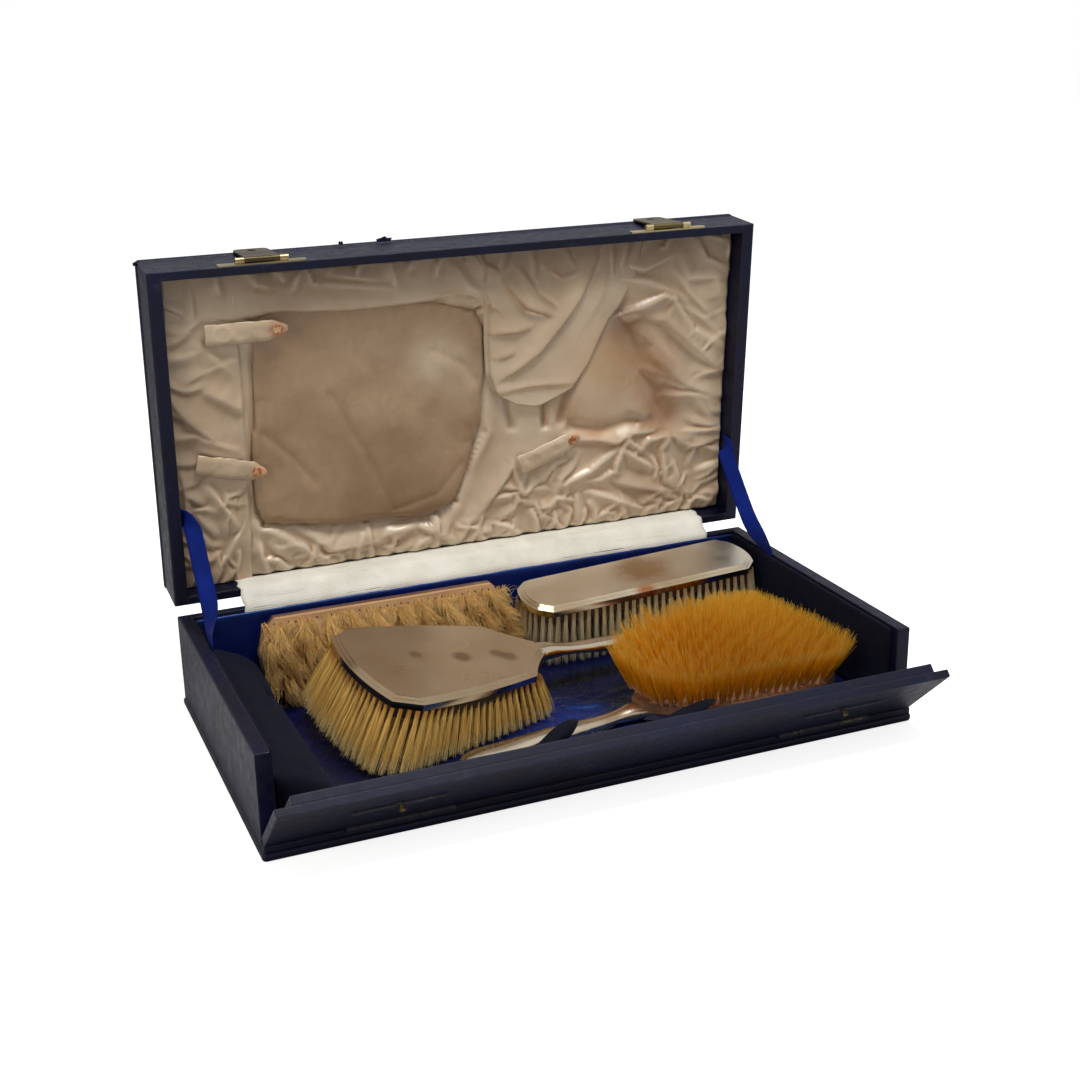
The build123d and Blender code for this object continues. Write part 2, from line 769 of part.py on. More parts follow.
hairbrush_left_pose = pose(-110, -12, 55.5, 10, 8, 8)
hairbrush_right_pose = pose(158.2, -26.3, floor_z + 0.1, 190, 0, 180)
clothes_left_pose = pose(-67.5, 84.6, 30.0, 0, 0, -100)
clothes_right_pose = pose(95.5, 63.2, 51.5, 1.0, -2.5, 6)


def head_face(plane, inset):
    """The head's outline, drawn in by inset."""
    with BuildSketch(plane) as outline:
        with BuildLine() as line:
            ThreePointArc((0, -head_end_half), (-head_bow, 0), (0, head_end_half))
            Line((0, head_end_half), (head_cant, head_half))
            ThreePointArc(
                (head_cant, head_half),
                ((head_cant + head_shoulder) / 2, (head_half + head_shoulder_half) / 2 + 2.5),
                (head_shoulder, head_shoulder_half),
            )
            ThreePointArc(
                (head_shoulder, head_shoulder_half),
                (head_shoulder + 9, head_shoulder_half / 2 + 3),
                (head_length, neck_half),
            )
            Line((head_length, neck_half), (head_length, 0))
            mirror(line.line, about=Plane.XZ)
        make_face()
        if inset:
            offset(amount=-inset)
    return outline


def hair_handle(frame, inset):
    """The flat oval handle, from inside the neck to its round end."""
    end = head_length + handle_length - inset
    mid_z = -handle_thick / 2 - 0.6
    deep = handle_thick / 2
    sections = []
    for u, wide, thick in (
        (head_length - 9, neck_half + 2.4, deep * 0.8),
        (head_length + 12, neck_half - 0.5, deep * 0.86),
        (head_length + 50, neck_half + 0.7, deep * 0.96),
        (end - 30, handle_half - 0.5, deep),
        (end - 12, handle_half, deep),
        (end - 4, handle_half * 0.74, deep * 0.78),
        (end, handle_half * 0.26, deep * 0.3),
    ):
        shrink = min(inset, thick * 0.4)
        with BuildSketch(along_x(frame, u, 0, mid_z)) as section:
            Ellipse(wide - shrink, thick - shrink)
        sections.append(section.sketch)
    with BuildPart() as bar:
        loft(sections)
    return bar.part


def make_hairbrush(side, frame):
    """Metal shell with a stepped rim and hollow handle, wooden body, and tufts."""
    outer_handle = hair_handle(frame, 0)
    inner_handle = hair_handle(frame, skin)
    with BuildPart() as core:
        extrude(head_face(frame.offset(-skin), 2 * rim_inset + skin).sketch, amount=-rim_step)
        extrude(head_face(frame.offset(-skin - rim_step), rim_inset + skin).sketch, amount=-(shell_depth - skin - rim_step))
        extrude(head_face(frame.offset(-shell_depth), 0.9).sketch, amount=-wood_depth)
    with BuildPart() as shell:
        extrude(head_face(frame, 2 * rim_inset).sketch, amount=-rim_step)
        extrude(head_face(frame.offset(-rim_step), rim_inset).sketch, amount=-rim_step)
        extrude(head_face(frame.offset(-2 * rim_step), 0).sketch, amount=-(shell_depth - 2 * rim_step))
        add(outer_handle)
        add(core.part, mode=Mode.SUBTRACT)
        add(inner_handle, mode=Mode.SUBTRACT)
    keep(shell.part, "hairbrush_" + side + "_shell")
    with BuildPart() as wood:
        add(core.part)
        add(inner_handle)
    keep(wood.part, "hairbrush_" + side + "_wood")


def tuft(frame, root, tip, root_size, tip_size):
    """A four-sided tuft that opens a little towards its tip."""
    with BuildPart() as part:
        with BuildSketch(shift(frame, *root)):
            Rectangle(root_size, root_size)
        with BuildSketch(shift(frame, *tip)):
            Rectangle(tip_size, tip_size)
        loft(ruled=True)
    return part.part


def reach_to_floor(frame, root, spread, length):
    """How long a tuft may be before its tip would touch the floor pad."""
    start = frame.from_local_coords(root)
    drop = frame.z_dir.Z
    if drop <= 0:
        return length
    shift_z = frame.x_dir.Z * spread[0] + frame.y_dir.Z * spread[1]
    return min(length, (start.Z + shift_z - floor_z - tip_clear) / drop)


def head_half_at(u):
    """Half the head's width at a distance from its far end."""
    if u < head_cant:
        return head_end_half + (head_half - head_end_half) * max(u, 0) / head_cant
    if u < head_shoulder:
        return head_half + (head_shoulder_half - head_half) * (u - head_cant) / (head_shoulder - head_cant)
    return head_shoulder_half - (u - head_shoulder) * 0.9


tip_clear = 0.9
tuft_pitch = 8.3
tuft_root = 2.2
tuft_tip = 3.3


def hair_tufts(frame, length, front_splay, back_splay, end_splay):
    """Staggered rows of tufts over the head, splayed outwards."""
    under = -(shell_depth + wood_depth)
    tufts = []
    rows = int((head_shoulder + 6) / tuft_pitch) + 1
    for row in range(rows):
        u = 3.0 + row * tuft_pitch
        half_width = head_half_at(u) - 5.0
        across = int(half_width / tuft_pitch + (0.5 if row % 2 else 0.0))
        offset_v = 0.5 * tuft_pitch if row % 2 else 0.0
        places = [k * tuft_pitch - offset_v for k in range(-across + (1 if row % 2 else 0), across + 1)]
        for v in places:
            if abs(v) > half_width:
                continue
            splay = back_splay if v > 0 else front_splay
            spread = (end_splay * (u - head_length * 0.46), splay * v)
            root = (u, v, under - slice_depth / 2)
            free = reach_to_floor(frame, root, spread, length)
            tip = (u + spread[0], v + spread[1], under - slice_depth / 2 - free)
            tufts.append(tuft(frame, root, tip, tuft_root, tuft_tip))
    return tufts


def hair_bristles(frame, length, front_splay, back_splay, end_splay):
    tufts = hair_tufts(frame, length, front_splay, back_splay, end_splay)
    with BuildPart() as bristles:
        extrude(head_face(frame.offset(-(shell_depth + wood_depth)), 2.8).sketch, amount=-slice_depth)
        add(tufts)
    print("tufts", len(tufts))
    return bristles.part


def clothes_face(plane, inset):
    """The clothes brush's outline: canted corners and slightly bowed ends."""
    end = clothes_length / 2 - clothes_bow
    with BuildSketch(plane) as outline:
        with BuildLine():
            half_end = clothes_half - clothes_cant
            Polyline(
                (-end, half_end), (-end + clothes_cant, clothes_half),
                (end - clothes_cant, clothes_half), (end, half_end),
            )
            ThreePointArc((end, half_end), (end + clothes_bow, 0), (end, -half_end))
            Polyline(
                (end, -half_end), (end - clothes_cant, -clothes_half),
                (-end + clothes_cant, -clothes_half), (-end, -half_end),
            )
            ThreePointArc((-end, -half_end), (-end - clothes_bow, 0), (-end, half_end))
        make_face()
        if inset:
            offset(amount=-inset)
    return outline


def make_clothes_brush(side, frame, length, droop):
    """Metal cap with a stepped rim over a wooden body, and five rows of tufts."""
    with BuildPart() as core:
        extrude(clothes_face(frame.offset(-skin), 2 * rim_inset + skin).sketch, amount=-rim_step)
        extrude(clothes_face(frame.offset(-skin - rim_step), rim_inset + skin).sketch, amount=-(shell_depth - skin - rim_step))
        extrude(clothes_face(frame.offset(-shell_depth), 0.9).sketch, amount=-clothes_wood)
    with BuildPart() as shell:
        extrude(clothes_face(frame, 2 * rim_inset).sketch, amount=-rim_step)
        extrude(clothes_face(frame.offset(-rim_step), rim_inset).sketch, amount=-rim_step)
        extrude(clothes_face(frame.offset(-2 * rim_step), 0).sketch, amount=-(shell_depth - 2 * rim_step))
        add(core.part, mode=Mode.SUBTRACT)
    keep(shell.part, "clothes_brush_" + side + "_shell")
    keep(core.part, "clothes_brush_" + side + "_wood")

    under = -(shell_depth + clothes_wood)
    tufts = []
    columns = int((clothes_length - 10) / 7.4)
    for column in range(columns + 1):
        u = (column - columns / 2) * 7.4
        for row in range(-2, 3):
            if column in (0, columns) and abs(row) == 2:
                continue
            v = row * 8.2
            spread = (u * 0.015, v * 0.1 + droop)
            root = (u, v, under - slice_depth / 2)
            free = reach_to_floor(frame, root, spread, length)
            tip = (u + spread[0], v + spread[1], under - slice_depth / 2 - free)
            tufts.append(tuft(frame, root, tip, 2.0, 3.0))
    with BuildPart() as bristles:
        extrude(clothes_face(frame.offset(under), 2.6).sketch, amount=-slice_depth)
        add(tufts)
    print("tufts", len(tufts))
    keep(bristles.part, "clothes_brush_" + side + "_bristles")


make_case_base()
make_tray_lining()
make_soft_ties()
make_lid_hinges()
make_fall_hinges()
make_fall_front()
make_hasps()
make_lid()
make_lid_lining()
make_hairbrush("left", hairbrush_left_pose)
keep(hair_bristles(hairbrush_left_pose, hair_length, 0.18, 0.1, 0.22), "hairbrush_left_bristles")
make_hairbrush("right", hairbrush_right_pose)
keep(hair_bristles(hairbrush_right_pose, hair_length, 0.22, 0.16, 0.2), "hairbrush_right_bristles")
make_clothes_brush("left", clothes_left_pose, 22.0, 6.0)
make_clothes_brush("right", clothes_right_pose, clothes_hair, 0.0)
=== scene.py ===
import math

import bmesh
import bpy
import numpy as np
from mathutils import Matrix, Vector


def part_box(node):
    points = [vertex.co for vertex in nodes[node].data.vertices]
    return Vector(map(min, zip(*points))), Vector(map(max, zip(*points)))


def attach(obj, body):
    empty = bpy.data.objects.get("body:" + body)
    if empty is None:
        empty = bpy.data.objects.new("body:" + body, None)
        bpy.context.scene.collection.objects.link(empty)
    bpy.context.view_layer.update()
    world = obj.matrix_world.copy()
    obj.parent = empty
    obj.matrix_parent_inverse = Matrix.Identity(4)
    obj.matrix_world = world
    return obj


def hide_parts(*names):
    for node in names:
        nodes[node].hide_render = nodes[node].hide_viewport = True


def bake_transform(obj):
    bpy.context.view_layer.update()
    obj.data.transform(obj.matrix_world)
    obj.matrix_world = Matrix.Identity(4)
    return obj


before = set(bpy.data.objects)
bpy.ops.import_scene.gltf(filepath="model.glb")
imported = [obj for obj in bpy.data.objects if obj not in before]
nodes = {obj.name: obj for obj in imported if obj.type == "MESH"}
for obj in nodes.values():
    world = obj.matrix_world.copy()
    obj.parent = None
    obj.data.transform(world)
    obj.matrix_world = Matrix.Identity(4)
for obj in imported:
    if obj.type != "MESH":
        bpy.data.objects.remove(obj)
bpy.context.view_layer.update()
MM = 0.001
scene = bpy.context.scene


# Camera, as solved from the photograph
PHOTO_PX, FOCAL_PX, SENSOR = 1080, 1584.29, 36
CAMERA_AWAY = 0.90534
az, el, roll = math.radians(-22.58), math.radians(19.44), math.radians(-0.97)
back = Vector((math.sin(az) * math.cos(el), -math.cos(az) * math.cos(el), math.sin(el)))
target = Vector((0.00249, 0, 0.10721))
right = (-back).cross(Vector((0, 0, 1))).normalized()
up = right.cross(-back)
right, up = (
    math.cos(roll) * right + math.sin(roll) * up,
    -math.sin(roll) * right + math.cos(roll) * up,
)
cam_data = bpy.data.cameras.new("camera")
cam = bpy.data.objects.new("camera", cam_data)
scene.collection.objects.link(cam)
place = target + back * CAMERA_AWAY
cam.matrix_world = Matrix((
    (right.x, up.x, back.x, place.x),
    (right.y, up.y, back.y, place.y),
    (right.z, up.z, back.z, place.z),
    (0, 0, 0, 1),
))
cam_data.sensor_width = SENSOR
cam_data.lens = FOCAL_PX / PHOTO_PX * SENSOR
cam_data.clip_start = 0.01
cam_data.clip_end = 20
scene.camera = cam


# Frames of reference
LID_TURN = math.radians(86.3)
LID_Y = np.array((0, math.cos(LID_TURN), -math.sin(LID_TURN)))
LID_Z = np.array((0, math.sin(LID_TURN), math.cos(LID_TURN)))
LID_AT = np.array((0, 102.4, 57.6))


def lid(points):
    """Points drawn on the shut lid, in mm, to where they are with the lid open."""
    p = np.asarray(points, float)
    return LID_AT + p[..., :1] * np.array((1.0, 0, 0)) + p[..., 1:2] * LID_Y + p[..., 2:] * LID_Z


def brush_place(x, y, z, yaw, pitch, turn):
    """A brush's own axes, as columns, and its origin in mm."""
    w, p, r = (math.radians(a) for a in (yaw, pitch, turn))
    x_dir = np.array((math.cos(p) * math.cos(w), math.cos(p) * math.sin(w), -math.sin(p)))
    z_dir = np.array((
        math.cos(r) * math.sin(p) * math.cos(w) + math.sin(r) * math.sin(w),
        math.cos(r) * math.sin(p) * math.sin(w) - math.sin(r) * math.cos(w),
        math.cos(r) * math.cos(p),
    ))
    return np.array((x, y, z), float), np.stack((x_dir, np.cross(z_dir, x_dir), z_dir))


def put(place, points):
    """Points in a brush's own axes to the shared frame, in mm."""
    origin, axes = place
    return origin + np.asarray(points, float) @ axes


# Mesh helpers
def rgb(r, g, b):
    """A colour written as it shows on screen, 0 to 255, in linear light."""
    out = []
    for c in (r, g, b):
        c /= 255
        out.append(c / 12.92 if c <= 0.04045 else ((c + 0.055) / 1.055) ** 2.4)
    return (*out, 1.0)


def piece(name, points, faces, look, uv=None, smooth=True):
    """A mesh object from points in mm."""
    mesh = bpy.data.meshes.new(name)
    points = np.asarray(points, float).reshape(-1, 3) * MM
    mesh.from_pydata(points.tolist(), [], faces if isinstance(faces, list) else faces.tolist())
    mesh.update()
    if smooth:
        mesh.shade_smooth()
    if uv is not None:
        layer = mesh.uv_layers.new(name="UVMap")
        index = np.zeros(len(mesh.loops), np.int32)
        mesh.loops.foreach_get("vertex_index", index)
        layer.data.foreach_set("uv", np.asarray(uv, np.float32)[index].ravel())
    obj = bpy.data.objects.new(name, mesh)
    scene.collection.objects.link(obj)
    obj.data.materials.append(look)
    return obj


def grid_faces(rows, cols):
    a = np.arange(rows * cols).reshape(rows, cols)
    return np.stack((a[:-1, :-1], a[:-1, 1:], a[1:, 1:], a[1:, :-1]), -1).reshape(-1, 4)


def prism(name, front, rear, look, smooth=True):
    """A closed form between two outlines of as many points."""
    n = len(front)
    faces = [tuple(range(n)), tuple(range(2 * n - 1, n - 1, -1))]
    faces += [(i, i + n, (i + 1) % n + n, (i + 1) % n) for i in range(n)]
    return piece(name, np.concatenate((front, rear)), faces, look, smooth=smooth)


def freeze(obj):
    """Applies an object's modifiers to its mesh."""
    graph = bpy.context.evaluated_depsgraph_get()
    mesh = bpy.data.meshes.new_from_object(obj.evaluated_get(graph))
    obj.modifiers.clear()
    obj.data = mesh
    return obj


def coords(obj):
    out = np.zeros(len(obj.data.vertices) * 3)
    obj.data.vertices.foreach_get("co", out)
    return out.reshape(-1, 3)


def set_coords(obj, points):
    obj.data.vertices.foreach_set("co", np.asarray(points, np.float32).ravel())
    obj.data.update()


def finer(obj):
    mod = obj.modifiers.new("Subdivision", "SUBSURF")
    mod.levels = mod.render_levels = 1
    freeze(obj)
    obj.data.shade_smooth()
    return obj


def remesh(obj, voxel):
    mod = obj.modifiers.new("Remesh", "REMESH")
    mod.mode = "VOXEL"
    mod.voxel_size = voxel * MM
    freeze(obj)


def thicken(obj, thickness):
    mod = obj.modifiers.new("Solidify", "SOLIDIFY")
    mod.thickness = thickness * MM
    mod.offset = 0
    freeze(obj)


def border(rows, cols):
    """Which points of a grid lie on its edge."""
    edge = np.zeros((rows, cols), bool)
    edge[[0, -1]] = edge[:, [0, -1]] = True
    return edge


def run_along(line):
    """How far each point of a polyline lies along it."""
    return np.concatenate(([0], np.cumsum(np.linalg.norm(np.diff(line, axis=0), axis=1))))


def spaced(line, at):
    """The points that lie at the given distances along a flat polyline."""
    run = run_along(line)
    return np.stack([np.interp(at, run, line[:, i]) for i in range(2)], -1)


def lattice_noise(x, y, scale, seed):
    """Smooth noise from -1 to 1 on a square lattice of that many mm."""
    rng = np.random.default_rng(seed)
    table = rng.uniform(-1, 1, (64, 64))
    u, v = np.asarray(x) / scale + 500.3, np.asarray(y) / scale + 500.7
    i, j = np.floor(u).astype(int), np.floor(v).astype(int)
    f, g = u - i, v - j
    f, g = f * f * (3 - 2 * f), g * g * (3 - 2 * g)
    t = lambda a, b: table[a % 64, b % 64]
    low = t(i, j) * (1 - f) + t(i + 1, j) * f
    high = t(i, j + 1) * (1 - f) + t(i + 1, j + 1) * f
    return low * (1 - g) + high * g


def line_distance(x, y, line):
    """Distance in mm from each point to a polyline."""
    best = np.full(np.shape(x), 1e9)
    for (ax, ay), (bx, by) in zip(line, line[1:]):
        dx, dy = bx - ax, by - ay
        t = np.clip(((x - ax) * dx + (y - ay) * dy) / max(dx * dx + dy * dy, 1e-9), 0, 1)
        best = np.minimum(best, np.hypot(x - ax - t * dx, y - ay - t * dy))
    return best


def step(low, high, value):
    t = np.clip((value - low) / (high - low), 0, 1)
    return t * t * (3 - 2 * t)


# Materials
class Nodes:
    """A node tree whose nodes are added one call at a time."""

    def __init__(self, owner):
        owner.use_nodes = True
        self.tree = owner.node_tree
        self.tree.nodes.clear()

    def node(self, kind):
        return self.tree.nodes.new(kind)

    def link(self, a, b):
        self.tree.links.new(a, b)

    def feed(self, socket, value):
        if hasattr(value, "is_output"):
            self.link(value, socket)
        else:
            socket.default_value = value

    def maths(self, kind, *values):
        n = self.node("ShaderNodeMath")
        n.operation = kind
        for socket, value in zip(n.inputs, values):
            self.feed(socket, value)
        return n.outputs[0]


class Look(Nodes):
    """A material: a Principled shader and what feeds it."""

    def __init__(self, name, coordinates="Object"):
        self.mat = bpy.data.materials.new(name)
        super().__init__(self.mat)
        out = self.node("ShaderNodeOutputMaterial")
        self.bsdf = self.node("ShaderNodeBsdfPrincipled")
        self.link(self.bsdf.outputs[0], out.inputs[0])
        self.place = self.node("ShaderNodeTexCoord").outputs[coordinates]
        self.bumped = None

    def scaled(self, scale, turn=(0, 0, 0)):
        m = self.node("ShaderNodeMapping")
        self.link(self.place, m.inputs[0])
        m.inputs["Scale"].default_value = scale
        m.inputs["Rotation"].default_value = turn
        return m.outputs[0]

    def noise(self, scale, detail=4.0, rough=0.55, source=None, distort=0.0):
        n = self.node("ShaderNodeTexNoise")
        self.link(source or self.place, n.inputs["Vector"])
        n.inputs["Scale"].default_value = scale
        n.inputs["Detail"].default_value = detail
        n.inputs["Roughness"].default_value = rough
        n.inputs["Distortion"].default_value = distort
        return n.outputs[0]

    def cells(self, scale):
        n = self.node("ShaderNodeTexVoronoi")
        n.feature = "SMOOTH_F1"
        self.link(self.place, n.inputs["Vector"])
        n.inputs["Scale"].default_value = scale
        return n.outputs[0]

    def ribs(self, scale):
        n = self.node("ShaderNodeTexWave")
        n.bands_direction = "Y"
        n.wave_profile = "SIN"
        self.link(self.place, n.inputs["Vector"])
        n.inputs["Scale"].default_value = scale
        n.inputs["Distortion"].default_value = 0.0
        return n.outputs["Fac"]

    def ramp(self, fac, stops):
        n = self.node("ShaderNodeValToRGB")
        self.link(fac, n.inputs[0])
        elements = n.color_ramp.elements
        while len(elements) < len(stops):
            elements.new(0.5)
        for element, (at, colour) in zip(elements, stops):
            element.position = at
            element.color = colour if hasattr(colour, "__len__") else (colour, colour, colour, 1)
        return n.outputs[0]

    def rise(self, fac, low, high):
        """0 up to the low value, then up to 1 at the high one."""
        return self.ramp(fac, [(low, 0.0), (high, 1.0)])

    def mix(self, fac, a, b, kind="MIX"):
        n = self.node("ShaderNodeMix")
        n.data_type = "RGBA"
        n.blend_type = kind
        self.feed(n.inputs[0], fac)
        self.feed(n.inputs[6], a)
        self.feed(n.inputs[7], b)
        return n.outputs[2]

    def over(self, base, mask, share, colour):
        """A colour laid over the base by a share of the mask."""
        return self.mix(self.maths("MULTIPLY", mask, share), base, colour)

    def times(self, base, *tint):
        """The base multiplied by a tint."""
        return self.mix(1.0, base, (*tint, 1), "MULTIPLY")

    def vectors(self, kind, a, b):
        n = self.node("ShaderNodeVectorMath")
        n.operation = kind
        self.feed(n.inputs[0], a)
        self.feed(n.inputs[1], b)
        return n.outputs["Value"]

    def near(self, point, radius):
        """1 at a point in metres, falling to 0 at the radius."""
        n = self.node("ShaderNodeMapRange")
        n.interpolation_type = "SMOOTHSTEP"
        self.link(self.vectors("DISTANCE", self.place, point), n.inputs[0])
        for at, value in enumerate((0.0, radius, 1.0, 0.0), 1):
            n.inputs[at].default_value = value
        return n.outputs[0]

    def axis(self, name):
        n = self.node("ShaderNodeSeparateXYZ")
        self.link(self.place, n.inputs[0])
        return n.outputs[name]

    def surface(self, what):
        return self.node("ShaderNodeNewGeometry").outputs[what]

    def bump(self, height, distance, strength=1.0):
        n = self.node("ShaderNodeBump")
        n.inputs["Strength"].default_value = strength
        n.inputs["Distance"].default_value = distance
        self.link(height, n.inputs["Height"])
        if self.bumped is not None:
            self.link(self.bumped, n.inputs["Normal"])
        self.bumped = n.outputs[0]
        self.link(self.bumped, self.bsdf.inputs["Normal"])

    def set(self, **values):
        for key, value in values.items():
            self.feed(self.bsdf.inputs[key.replace("_", " ")], value)


def leatherette(name, dark, light, dust):
    """Pebbled navy bookcloth with scuffs and a greyish bloom."""
    k = Look(name)
    wide = k.noise(22, 5, 0.6)
    fine = k.noise(900, 3, 0.6)
    soft = k.node("ShaderNodeBevel")
    soft.samples = 4
    soft.inputs["Radius"].default_value = 0.0011
    facing = k.vectors("DOT_PRODUCT", soft.outputs[0], k.surface("Normal"))
    rubbed = k.ramp(facing, [(0.90, 1.0), (0.985, 0.0)])
    rubbed = k.maths("MULTIPLY", rubbed, k.ramp(k.noise(120, 6, 0.7), [(0.35, 0.15), (0.62, 1.0)]))
    k.bumped = soft.outputs[0]
    scuff = k.rise(k.noise(70, 8, 0.72, distort=0.4), 0.60, 0.72)
    streak = k.rise(k.noise(60, 6, 0.7, source=k.scaled((0.25, 4, 4))), 0.62, 0.76)
    base = k.mix(k.rise(wide, 0.35, 0.68), dark, light)
    base = k.over(base, fine, 0.35, dark)
    for mask, share in ((scuff, 0.22), (streak, 0.14), (rubbed, 0.42)):
        base = k.over(base, mask, share, dust)
    k.set(Base_Color=base)
    k.set(Roughness=k.ramp(k.noise(160, 5, 0.6), [(0.3, 0.40), (0.75, 0.60)]))
    k.bsdf.inputs["Specular IOR Level"].default_value = 0.24
    k.bump(k.cells(1500), 0.00012, 0.55)
    k.bump(k.noise(420, 4, 0.6), 0.0001, 0.4)
    k.bump(k.noise(26, 3, 0.5), 0.0006, 0.22)
    return k.mat


def velvet(name, dark, light, tint):
    """Short cut pile: dark, with a coloured sheen and brushed patches."""
    k = Look(name)
    nap = k.noise(45, 5, 0.62, distort=0.6)
    lint = k.rise(k.noise(1300, 2, 0.5), 0.70, 0.80)
    base = k.mix(k.rise(nap, 0.38, 0.7), dark, light)
    base = k.over(base, lint, 0.10, rgb(110, 116, 150))
    k.set(Base_Color=base, Roughness=k.ramp(nap, [(0.3, 0.82), (0.7, 0.97)]))
    k.bsdf.inputs["Sheen Weight"].default_value = 0.2
    k.bsdf.inputs["Sheen Roughness"].default_value = 0.38
    k.bsdf.inputs["Sheen Tint"].default_value = tint
    k.bsdf.inputs["Specular IOR Level"].default_value = 0.2
    k.bump(k.noise(2600, 2, 0.6), 0.00035, 0.6)
    k.bump(k.noise(60, 4, 0.6), 0.0011, 0.5)
    return k.mat


def satin(
    name, low, high, sheen, rough=(0.30, 0.48), stains_and_lit_patches=(), flecks=0.3, mottled=0.25, edges=False, tint=None, folds=False
):
    """Satin with fine threads, a soft gloss and age. With edges set it paints shade at the lid's top and left side,
    and with folds it paints shade in the hollows and a highlight on the ridges."""
    k = Look(name)
    cloud = k.noise(11, 5, 0.6, distort=0.3)
    base = k.mix(k.rise(cloud, 0.32, 0.68), low, high)
    fleck = k.rise(k.noise(240, 6, 0.7), 0.64, 0.78)
    base = k.over(base, fleck, flecks, k.times(base, 0.5, 0.42, 0.36))
    mottle = k.rise(k.noise(62, 6, 0.7, distort=0.5), 0.36, 0.66)
    base = k.over(base, mottle, mottled, k.times(base, 0.72, 0.66, 0.58))
    if edges:
        # Painted shade: darker towards the lid's top and its left side, where the lid's walls shade the lining.
        top = k.ramp(k.axis("Z"), [(0.226, 0.0), (0.248, 0.95)])
        left = k.ramp(k.maths("MULTIPLY", k.axis("X"), -1.0), [(0.158, 0.0), (0.181, 0.9)])
        edge_shade = k.maths("MAXIMUM", top, k.maths("MULTIPLY", left, 0.8))
        base = k.mix(edge_shade, base, k.times(base, 0.50, 0.44, 0.38))
    if folds:
        # Painted shade in the hollows of the folds and a painted highlight on their ridges, from the mesh's pointiness.
        bent = k.surface("Pointiness")
        base = k.mix(k.ramp(bent, [(0.46, 0.95), (0.50, 0.0)]), base, k.times(base, 0.56, 0.38, 0.22))
        base = k.mix(k.ramp(bent, [(0.505, 0.0), (0.56, 0.7)]), base, rgb(236, 222, 200))
    # The list holds stains and, for the floor and the pad, painted lit patches.
    for point, radius, colour, amount in stains_and_lit_patches:
        ragged = k.ramp(k.noise(48, 5, 0.65), [(0.25, 0.35), (0.7, 1.0)])
        base = k.over(base, k.maths("MULTIPLY", k.near(point, radius), ragged), amount, colour)
    k.set(Base_Color=base)
    k.set(Roughness=k.ramp(k.noise(130, 4, 0.6), [(0.3, rough[0]), (0.75, rough[1])]))
    k.bsdf.inputs["Sheen Weight"].default_value = sheen
    k.bsdf.inputs["Sheen Roughness"].default_value = 0.35
    k.bsdf.inputs["Specular IOR Level"].default_value = 0.9 if tint else 0.65
    if tint:
        k.bsdf.inputs["Specular Tint"].default_value = tint
    k.bump(k.noise(2600, 2, 0.5, source=k.scaled((1.0, 0.18, 0.18))), 0.00004, 0.4)
    k.bump(k.noise(150, 3, 0.5), 0.0004, 0.12)
    return k.mat


def ribbed(name, low, high, dirt, rib, sheen=0.15, tint=None):
    """Ribbed ribbon, with its length along U in metres and dirty streaks."""
    k = Look(name, "UV")
    base = k.mix(k.rise(k.noise(34, 5, 0.6), 0.35, 0.68), low, high)
    streak = k.rise(k.noise(60, 7, 0.72, source=k.scaled((0.3, 2.2, 1))), 0.56, 0.74)
    base = k.over(base, streak, 0.42, dirt)
    spots = k.rise(k.noise(230, 4, 0.6), 0.70, 0.78)
    base = k.over(base, spots, 0.4, dirt)
    k.set(Base_Color=base, Roughness=k.ramp(k.noise(90, 3), [(0.3, 0.5), (0.7, 0.68)]))
    k.bsdf.inputs["Sheen Weight"].default_value = sheen
    if tint:
        k.bsdf.inputs["Specular IOR Level"].default_value = 0.35
        k.bsdf.inputs["Specular Tint"].default_value = tint
    k.bump(k.ribs(rib), 0.00018, 0.5)
    k.bump(k.noise(70, 4, 0.6), 0.0006, 0.35)
    return k.mat


def metal(name, base, tarnish, bright, amount, rough, flat=None, spots=()):
    """Old polished metal: cloudy tarnish, rubbed bright places, faint brushing and spots.
    Where flat is the direction that the flat back faces, the surfaces that turn from it are more polished."""
    k = Look(name)
    cloud = k.noise(16, 4, 0.5, distort=0.4)
    colour = k.over(base, k.rise(cloud, 0.36, 0.70), amount, tarnish)
    rub = k.rise(k.noise(14, 4, 0.55), 0.58, 0.74)
    colour = k.over(colour, rub, 0.5, bright)
    brushed = k.rise(k.noise(420, 2, 0.4, source=k.scaled((0.06, 1.6, 1.6), (0, 0, 0.3))), 0.3, 0.8)
    colour = k.over(colour, brushed, 0.10, bright)
    for point, radius, shade, strength in spots:
        ragged = k.ramp(k.noise(170, 5, 0.7), [(0.3, 0.55), (0.62, 1.0)])
        patch = k.ramp(k.maths("MULTIPLY", k.near(point, radius), ragged), [(0.08, 0.0), (0.6, 1.0)])
        colour = k.over(colour, patch, strength, shade)
    k.set(Base_Color=colour, Metallic=1.0)
    dull = k.ramp(k.noise(60, 3, 0.5), [(0.25, rough[0]), (0.78, rough[1])])
    if flat is not None:
        level = k.vectors("DOT_PRODUCT", k.surface("Normal"), tuple(flat))
        dull = k.maths("MULTIPLY", dull, k.ramp(level, [(0.93, 0.35), (0.985, 1.0)]))
    k.set(Roughness=dull)
    return k.mat


def flecked(name, ground, fleck, scale, share, rough):
    """A dull surface with flecks of a second colour."""
    k = Look(name)
    spots = k.rise(k.noise(scale, 5, 0.7), 1 - share - 0.08, 1 - share)
    k.set(Base_Color=k.mix(spots, ground, fleck))
    k.set(Roughness=k.ramp(spots, [(0.0, rough), (1.0, rough - 0.2)]))
    k.bump(k.noise(scale * 1.5, 4, 0.6), 0.0001, 0.5)
    return k.mat


